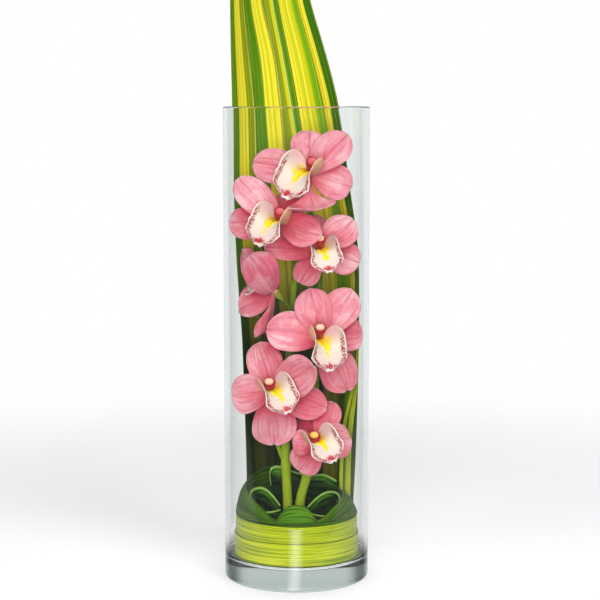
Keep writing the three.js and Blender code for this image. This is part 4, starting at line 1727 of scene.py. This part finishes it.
@dataclass
class BloomFinishes:
    """The finishes that all blooms share."""

    petal: bpy.types.Material
    lip: bpy.types.Material
    column: bpy.types.Material
    caps: dict[Cap, bpy.types.Material]
    ovary: bpy.types.Material
    spot: bpy.types.Material


@dataclass
class Blooms:
    """The seven blooms, from the top down."""

    vase: Vase
    tepal: TepalForm = TepalForm()
    lip: LipForm = LipForm()
    shade_start: float = 1.2
    shade_reach: float = 60.0
    shade_loss: float = 0.55
    shade_depth: float = 1.1
    # The rays head towards the lamps, in front and above; petals that they meet give painted shade.
    rays: tuple[tuple[float, float, float], ...] = (
        (0.4, -1.0, 1.0), (0.1, -1.0, 0.3), (-0.5, -1.0, 0.9), (0.8, -1.0, 0.4), (-0.2, -1.0, 1.8))
    column_radius: Stops = ((0, 3.2), (0.25, 4.2), (0.6, 5.2), (0.85, 6.1), (0.96, 6.2), (1, 5.2))

    @staticmethod
    def all() -> tuple[Bloom, ...]:
        """The blooms: each lip's clock angle is the one that it hangs at."""
        return (
            Bloom(1, (12.2, -4, 426), 246, (
                Tepal(88, 43, 37, -20, inner=True), Tepal(44, 58, 35, -10),
                Tepal(-18, 48, 38, -14, inner=True), Tepal(168, 59, 38, -12),
                Tepal(-84, 34, 48, 56, curl=-95, foot=0.1, widest=0.75, flare=3.5)),
                lip_yaw=-30, lip_scale=1.22, cap=Cap.ROSE),
            Bloom(2, (-19.6, -12, 375), 250, (
                Tepal(60, 34, 30, -30, depth=0.5), Tepal(130.5, 62, 35, 4, inner=True, depth=0.05),
                Tepal(180, 51, 33, -8, depth=0.2), Tepal(-14.5, 47, 34, 20, inner=True, depth=0.25),
                Tepal(-78, 28, 26, -42, depth=0.8)),
                lip_yaw=-30, lip_pitch=5, lip_scale=1.12, cap=Cap.ROSE),
            Bloom(3, (25.9, 2, 346.8), 281, (
                Tepal(105, 36, 26, -25), Tepal(42, 46, 35, -6, inner=True), Tepal(-20, 44, 36, -8),
                Tepal(238, 43, 30, -10, depth=0.05), Tepal(177, 60, 26, 10, inner=True)),
                lip_yaw=12, lip_pitch=4, lip_scale=0.92),
            Bloom(4, (-22.9, 5, 301.4), 270, (
                Tepal(92, 46, 28, 2, face=(-1, 0, -0.2)),
                Tepal(120, 50, 40, 38, curl=-36, cup=0.1, face=(-0.2, 1, 0)),
                Tepal(131, 56, 28, -26, face=(-0.5, -0.8, 0)),
                Tepal(207, 44, 32, -16, face=(-0.2, -1, 0.4)),
                Tepal(244, 48, 30, 30, curl=-50, face=(-1, 0.3, 0.2))), yaw=-70, pitch=44, lip_scale=0.68),
            Bloom(5, (24.9, -10, 254.9), 274, (
                Tepal(102, 53, 38, -6), Tepal(55, 60, 38, -12, inner=True), Tepal(170, 57, 43, 0, inner=True),
                Tepal(5, 46, 38, -16, depth=0.3), Tepal(-63, 66, 40, -12, depth=0.3)),
                lip_yaw=28, lip_scale=1.1),
            Bloom(6, (-24.9, -8, 198.5), 290, (
                Tepal(108, 52, 38, -16), Tepal(187, 44, 43, -6, inner=True), Tepal(271, 60, 46, -8),
                Tepal(-18, 60, 36, -2, depth=0.4), Tepal(36, 54, 44, 24, curl=-26, inner=True)),
                lip_yaw=24, lip_pitch=8, lip_scale=1.04),
            Bloom(7, (21.7, -10, 142.8), 291, (
                Tepal(66, 44, 28, -24, inner=True, depth=0.5), Tepal(8, 36, 36, -8, depth=0.4),
                Tepal(238, 36, 36, -4), Tepal(132, 30, 26, -38, depth=0.7),
                Tepal(176, 26, 26, -8, inner=True, depth=0.3)),
                lip_yaw=24, lip_pitch=14, lip_scale=1.02, cap=Cap.YELLOW),
        )

    def finishes(self) -> BloomFinishes:
        """Makes the finishes."""
        return BloomFinishes(
            petal=PetalFinish("petal").make(),
            lip=LipFinish("lip").make(),
            column=FleshFinish("column", start=(0.50, 0.06, 0.02), end=(0.36, 0.004, 0.01)).make(),
            caps={
                Cap.ROSE: FleshFinish("rose_cap", start=(0.60, 0.03, 0.05), end=(0.74, 0.13, 0.15),
                                      spots=(0.5, 0.02, 0.04), spotted=0.35).make(),
                Cap.CREAM: FleshFinish("cream_cap", start=(0.80, 0.40, 0.30), end=(0.90, 0.56, 0.42),
                                       spots=(0.7, 0.2, 0.12), spotted=0.25).make(),
                Cap.YELLOW: FleshFinish("yellow_cap", start=(0.80, 0.42, 0.08), end=(0.88, 0.55, 0.10),
                                        spots=(0.6, 0.1, 0.05), spotted=0.25).make(),
            },
            ovary=FleshFinish("ovary", start=(0.62, 0.25, 0.17), end=(0.30, 0.30, 0.05),
                              spots=(0.5, 0.2, 0.1), spotted=0.2, roughness=0.42).make(),
            spot=FleshFinish("spots", start=(0.36, 0.004, 0.02), end=(0.36, 0.004, 0.02), spotted=0.0).make(),
        )

    def grids(self, bloom: Bloom) -> list[np.ndarray]:
        """The middle surfaces of a bloom's petals and sepals."""
        return [self.vase.inside(bloom.tepal_grid(tepal, self.tepal, 5 * bloom.number + index))
                for index, tepal in enumerate(bloom.tepals)]

    def shelter(self) -> BVHTree:
        """All petals, sepals and lips as one surface that rays can be sent against."""
        points: list[np.ndarray] = []
        faces: list[np.ndarray] = []
        count = 0
        for bloom in self.all():
            lip, _ = self.lip.grid(bloom.number)
            for grid in [*self.grids(bloom), bloom.in_mouth(lip, turned=True)]:
                faces.append(grid_faces(*grid.shape[:2]) + count)
                points.append(grid.reshape(-1, 3))
                count += len(points[-1])
        return BVHTree.FromPolygons(np.concatenate(points).tolist(), np.concatenate(faces).tolist())

    def shade_deepness(self, grid: np.ndarray, shelter: BVHTree, own: float) -> np.ndarray:
        """How much painted shade a petal's colour takes: deeper crimson where other petals lie close over it
        on the side of the lamps.

        Args:
            grid: The petal's middle surface.
            shelter: All petals.
            own: How deep its colour is in the open, partly its own tone and partly painted shade.

        Returns:
            The depth of the painted shade at each point, from 0 to 1.
        """
        normal = unit(np.cross(np.gradient(grid, axis=0), np.gradient(grid, axis=1)))
        normal = normal * np.where(normal[..., 1:2] > 0, -1.0, 1.0)
        start = grid + self.shade_start * normal
        covered = np.zeros(grid.shape[:2])
        for ray in self.rays:
            ahead = Vector(ray).normalized()
            for place in np.ndindex(covered.shape):
                _, _, _, distance = shelter.ray_cast(Vector(start[place]), ahead, self.shade_reach)
                if distance is not None:
                    covered[place] += 1 - self.shade_loss * distance / self.shade_reach
        share = covered / len(self.rays)
        for axis in (0, 1):
            share = (np.roll(share, 1, axis) + share + np.roll(share, -1, axis)) / 3
        return np.clip(own + self.shade_depth * share, 0, 1)

    def petals(self, bloom: Bloom, finish: bpy.types.Material, shelter: BVHTree) -> None:
        """Makes a bloom's five petals and sepals.

        Args:
            bloom: The bloom.
            finish: Their finish.
            shelter: All petals.
        """
        maker = Maker(f"petals_{bloom.number}")
        for tepal, grid in zip(bloom.tepals, self.grids(bloom)):
            maker.sheet(grid, self.tepal.thickness, self.shade_deepness(grid, shelter, tepal.depth))
        finished(maker.build(finish), Slot.PETAL, f"bloom_{bloom.number}")

    def ovary(self, bloom: Bloom, finish: bpy.types.Material) -> None:
        """Makes the ribbed ovary behind a bloom, with the heart that the petals grow from.

        Args:
            bloom: The bloom.
            finish: Its finish.
        """
        length, girth = Bloom.OVARY_LENGTH, Bloom.OVARY_RADIUS
        place = np.linspace(-4.0, length, 22)
        route = bloom.placed(np.stack([0 * place, place, 0 * place], axis=-1))
        radii = follow(((-4, 1.2), (-2.5, 3.6), (0, 4.6), (2.5, 3.8), (6, 3.1), (length, girth)), place)
        maker = Maker(f"ovary_{bloom.number}")
        maker.tube(route, radii, 30, (0, 0, 1), lobes=6, relief=0.08)
        finished(maker.build(finish), Slot.STEM)

    def mouth(self, bloom: Bloom, looks: BloomFinishes) -> None:
        """Makes a bloom's lip, its spots, its column and the cap at the column's end.

        Args:
            bloom: The bloom.
            looks: The finishes.
        """
        grid, marks = self.lip.grid(bloom.number)
        maker = Maker(f"lip_sheet_{bloom.number}")
        maker.sheet(self.vase.inside(bloom.in_mouth(grid, turned=True)), self.lip.thickness, marks)
        lip = maker.build(looks.lip)
        spots = speckle_tree(looks.spot).grow(f"lip_spots_{bloom.number}", lip.data, looks.spot, {
            "Seed": bloom.number})
        facing_out(spots)
        finished(lip, Slot.LIP, f"lip_{bloom.number}")
        finished(spots, Slot.COLUMN)

        start = -(Bloom.HEART + 0.6)
        local = through(np.array([[0, start, 1], [0, -12, 5], [0, -19, 8], [0, -25, 8]]), 30)
        share = np.linspace(0, 1, 30)
        radii = rounded(self.column_radius, share, 0.05) * bloom.column_scale
        maker = Maker(f"column_arch_{bloom.number}")
        maker.tube(bloom.in_mouth(local), radii, 28, (0, 0, 1), flatness=1.1)
        finished(maker.build(looks.column), Slot.COLUMN, f"column_{bloom.number}")

        cap = Maker(f"anther_cap_{bloom.number}")
        line = np.linspace(0, 1, 18)
        local = np.stack([0 * line, -22.0 - 7.0 * line, 9.9 - 1.4 * line**2], axis=-1)
        radii = 4.3 * np.sqrt(np.maximum(1 - (2 * line - 1) ** 2, 0.004)) * bloom.column_scale
        cap.tube(bloom.in_mouth(local), radii, 28, (0, 0, 1), flatness=0.9, lobes=2, relief=0.07)
        finished(cap.build(looks.caps[bloom.cap]), Slot.LIP)

    def build(self) -> None:
        """Makes all the blooms."""
        looks = self.finishes()
        shelter = self.shelter()
        for bloom in self.all():
            self.petals(bloom, looks.petal, shelter)
            self.ovary(bloom, looks.ovary)
            self.mouth(bloom, looks)


# Stems


@dataclass(frozen=True)
class Branch:
    """A flower stalk: its bloom's place in the row, where it leaves the stem and its bends."""

    bloom: int
    start: float
    via: tuple[tuple[float, float, float], ...] = ()


@dataclass(frozen=True)
class Stem:
    """A cut stem and its flower stalks."""

    name: str
    route: tuple[tuple[float, float, float], ...]
    branches: tuple[Branch, ...]


@dataclass
class Stems:
    """The two stems, which stand on the glass."""

    radius: Stops = ((0, 5.2), (0.5, 4.4), (0.85, 3.4), (1, 2.2))
    branch_radius: float = 2.3
    gap: float = 0.3

    @staticmethod
    def all() -> tuple[Stem, ...]:
        """The stems, from the bottom up."""
        return (
            Stem("stem_left", (
                (-8, -5, 22.9), (-9.5, 0, 80), (-11.5, 8, 120), (-12, 16, 170), (-8, 22, 230),
                (-3, 25, 300), (2, 26, 360), (8, 25, 410), (11, 22, 436)), (
                Branch(0, 402), Branch(1, 346, ((-14, 10, 366),)), Branch(3, 280),
                Branch(5, 116, ((-17.5, 11, 130), (-23, 11, 148), (-26, 9, 172))))),
            Stem("stem_right", (
                (3.4, -8.5, 22.9), (3.5, -4, 76), (11, 4, 107), (17, 14, 150), (20, 22, 200),
                (22, 25, 250), (24, 25, 300), (26, 23, 338)), (
                Branch(2, 318), Branch(4, 226), Branch(6, 108, ((19, 6, 128),)))),
        )

    def main_line(self, stem: Stem) -> tuple[np.ndarray, np.ndarray]:
        """The route and girth of a stem, swollen a little where each stalk leaves it.

        Args:
            stem: The stem.

        Returns:
            The points and the radius at each.
        """
        route = through(np.array(stem.route, float), 160)
        length = np.concatenate([[0], np.cumsum(np.linalg.norm(np.diff(route, axis=0), axis=1))])
        girth = follow(self.radius, length / length[-1])
        for branch in stem.branches:
            girth = girth + 0.7 * hump(route[:, 2], branch.start, 3.5)
        return route, girth

    def branch_line(self, main: np.ndarray, branch: Branch, bloom: Bloom) -> tuple[np.ndarray, np.ndarray]:
        """The route and girth of a flower stalk, from inside the stem to the ovary.

        Args:
            main: The stem's route.
            branch: The stalk.
            bloom: Its bloom.

        Returns:
            The points and the radius at each.
        """
        start = main[np.searchsorted(main[:, 2], branch.start)]
        back = bloom.back_direction()
        end = np.array(bloom.centre) + back * (Bloom.OVARY_LENGTH + self.gap)
        route = through(np.array([start, *branch.via, end + 4 * back, end], float), 70)
        share = np.linspace(0, 1, 70)
        return route, self.branch_radius * (1 + 0.25 * hump(share, 0.0, 0.12))

    def build(self) -> None:
        """Makes the stems with their stalks."""
        finish = StemFinish("fresh_stem").make()
        tree = stalk_tree(finish)
        blooms = Blooms.all()
        for stem in self.all():
            main, girth = self.main_line(stem)
            piece = tree.grow(f"{stem.name}_stalk", line_mesh(stem.name, main, girth), finish)
            facing_out(piece)
            finished(piece, Slot.STEM, stem.name)
            for branch in stem.branches:
                route, girths = self.branch_line(main, branch, blooms[branch.bloom])
                name = f"flower_stalk_{branch.bloom + 1}"
                stalk = tree.grow(name, line_mesh(name, route, girths), finish, {"Steps": 50, "Sides": 18})
                facing_out(stalk)
                finished(stalk, Slot.STEM)


# The studio


@dataclass
class Studio:
    """The camera, the lights, the surroundings and the floor."""

    distance: float = 1750.0
    height: float = 502.0
    side: float = 3.7
    focal_pixels: float = 1683.0
    tilt: float = 6.79
    backdrop: float = 1.0
    surroundings: float = 0.85
    room: float = 0.08
    pale_glass: float = 0.62
    dark_glass: float = 0.10
    card: float = 0.12
    front_light: float = 0.2
    side_light: float = 0.6
    floor_size: float = 2400.0
    floor_gap: float = -0.3
    strip_ends: tuple[tuple[float, float], ...] = ((-330.0, 75.0), (-78.0, 11.0))
    card_radius: float = 112.0
    card_angles: tuple[float, float] = (34.0, 88.0)
    card_heights: tuple[float, float] = (0.5, 34.0)

    def camera(self) -> None:
        """Sets up the camera at the photograph's viewing angle."""
        data = bpy.data.cameras.new("camera")
        data.sensor_width = 36.0
        data.lens = self.focal_pixels * data.sensor_width / IMAGE_SIZE
        camera = added("camera", data)
        camera.location = Vector((self.side, -self.distance, self.height)) * MM
        camera.rotation_euler = Euler((math.radians(90 - self.tilt), 0, 0))
        bpy.context.scene.camera = camera

    def surround(self) -> None:
        """Gives the scene a near-white backdrop and softer surroundings for its light."""
        world = bpy.data.worlds.new("surroundings")
        world.use_nodes = True
        graph = Graph(world.node_tree)
        path = graph.node("ShaderNodeLightPath")
        seen = Value(graph, path.outputs["Is Camera Ray"])
        refracted = Value(graph, path.outputs["Is Transmission Ray"])
        mirrored = Value(graph, path.outputs["Is Glossy Ray"])
        direction = graph.node("ShaderNodeTexCoord")
        across, away, up = graph.split(direction.outputs["Generated"])
        span = self.surroundings - self.room
        soft_light = self.room + span * away.rise(-0.3, 0.5)
        in_gloss = self.room + span * away.rise(0.65, 0.95)
        lit = soft_light + (in_gloss - soft_light) * mirrored
        high = self.dark_glass + (self.pale_glass - self.dark_glass) * abs(away).rise(0.55, 0.85)
        behind = (1 + (high - 1) * up.rise(0.04, 0.16) - self.card) * away.rise(0.45, 0.8)
        bounces = Value(graph, path.outputs["Diffuse Depth"]) + Value(graph, path.outputs["Glossy Depth"])
        beside = self.side_light * (abs(across).rise(0.86, 0.97) + away.fall(-0.95, -0.8))
        beside = beside * bounces.fall(0, 1)
        through_glass = self.card + behind + self.front_light * away.fall(-0.6, -0.2) + beside
        strength = lit + (through_glass - lit) * refracted
        white = graph.node("ShaderNodeBackground", None, {"Color": (1, 1, 1, 1), "Strength": self.backdrop})
        soft = graph.node("ShaderNodeBackground", None, {"Color": (0.97, 0.99, 1.0, 1), "Strength": strength})
        both = graph.node("ShaderNodeMixShader", None, {0: seen, 1: soft.outputs[0], 2: white.outputs[0]})
        graph.node("ShaderNodeOutputWorld", None, {"Surface": both.outputs[0]})
        bpy.context.scene.world = world

    def lamp(self, name: str, place: tuple[float, float, float], aim: tuple[float, float, float],
             size: tuple[float, float], power: float, mirrored: bool = True) -> None:
        """Adds a soft light.

        Args:
            name: Its name.
            place: Where it stands.
            aim: What it points at.
            size: Its width and height.
            power: Its power in watts.
            mirrored: Whether the glass mirrors it.
        """
        data = bpy.data.lights.new(name, "AREA")
        data.shape = "RECTANGLE"
        data.size, data.size_y = (value * MM for value in size)
        data.energy = power
        lamp = added(name, data)
        lamp.location = Vector(place) * MM
        lamp.rotation_euler = (Vector(aim) - Vector(place)).to_track_quat("-Z", "Y").to_euler()
        lamp.visible_camera = False
        lamp.visible_glossy = mirrored
        lamp.visible_transmission = mirrored

    def sheet(self, name: str, points: np.ndarray, rows: int, material: bpy.types.Material,
              hidden: tuple[str, ...]) -> None:
        """Adds a thin surface that belongs to the studio.

        Args:
            name: Its name.
            points: Its points, row by row.
            rows: How many rows there are.
            material: Its finish.
            hidden: The kinds of ray that it is hidden from.
        """
        mesh = bpy.data.meshes.new(name)
        mesh.from_pydata((points * MM).tolist(), [], grid_faces(rows, len(points) // rows).tolist())
        mesh.materials.append(material)
        made = added(name, mesh)
        for kind in hidden:
            setattr(made, f"visible_{kind}", False)

    def floor(self) -> None:
        """Lays the floor."""
        size, gap = self.floor_size, self.floor_gap
        corners = np.array([(-size, -size, gap), (size, -size, gap), (-size, size, gap), (size, size, gap)])
        self.sheet("floor", corners, 2, FloorFinish("pale_floor").make(), ("glossy",))

    def reflector(self) -> None:
        """Lays a soft bright strip in front, which only the glass and gloss reflect."""
        (far, far_half), (near, near_half) = self.strip_ends
        corners = np.array([(-far_half, far, 1.0), (far_half, far, 1.0),
                            (-near_half, near, 1.0), (near_half, near, 1.0)])
        self.sheet("reflector", corners, 2, StripFinish("soft_strip").make(),
                   ("camera", "diffuse", "transmission", "shadow", "volume_scatter"))

    def dark_cards(self) -> None:
        """Stands two dark cards behind, left and right, which only the glass of the base shows."""
        black = CardFinish("dark_card").make()
        steps = 13
        for side in (-1, 1):
            angles = 90 - side * np.linspace(*self.card_angles, steps)
            points = np.concatenate([polar(angles, self.card_radius, height) for height in self.card_heights])
            self.sheet("dark_card", points, len(self.card_heights), black,
                       ("camera", "diffuse", "glossy", "shadow", "volume_scatter"))

    def build(self) -> None:
        """Sets up the whole studio."""
        self.camera()
        self.surround()
        self.floor()
        self.lamp("key", (800, -1000, 1700), (0, 0, 300), (700, 700), 12.0)
        self.lamp("fill", (-1200, -1000, 1500), (0, 0, 300), (800, 800), 4.0)
        self.lamp("front", (-120, -1500, 480), (0, 0, 240), (900, 900), 23.0, mirrored=False)
        self.reflector()
        self.dark_cards()
        bpy.context.scene.view_settings.view_transform = "Standard"


def main() -> None:
    """Builds the studio and every piece of the arrangement."""
    logging.basicConfig(level=logging.INFO, format="%(name)s: %(message)s")
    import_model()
    Studio().build()
    vase = Vase()
    vase.build()
    StripedLeaves(vase).build()
    NarrowBlades().build()
    Nest().build()
    Stems().build()
    Blooms(vase).build()
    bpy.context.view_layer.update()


if __name__ == "__main__":
    main()
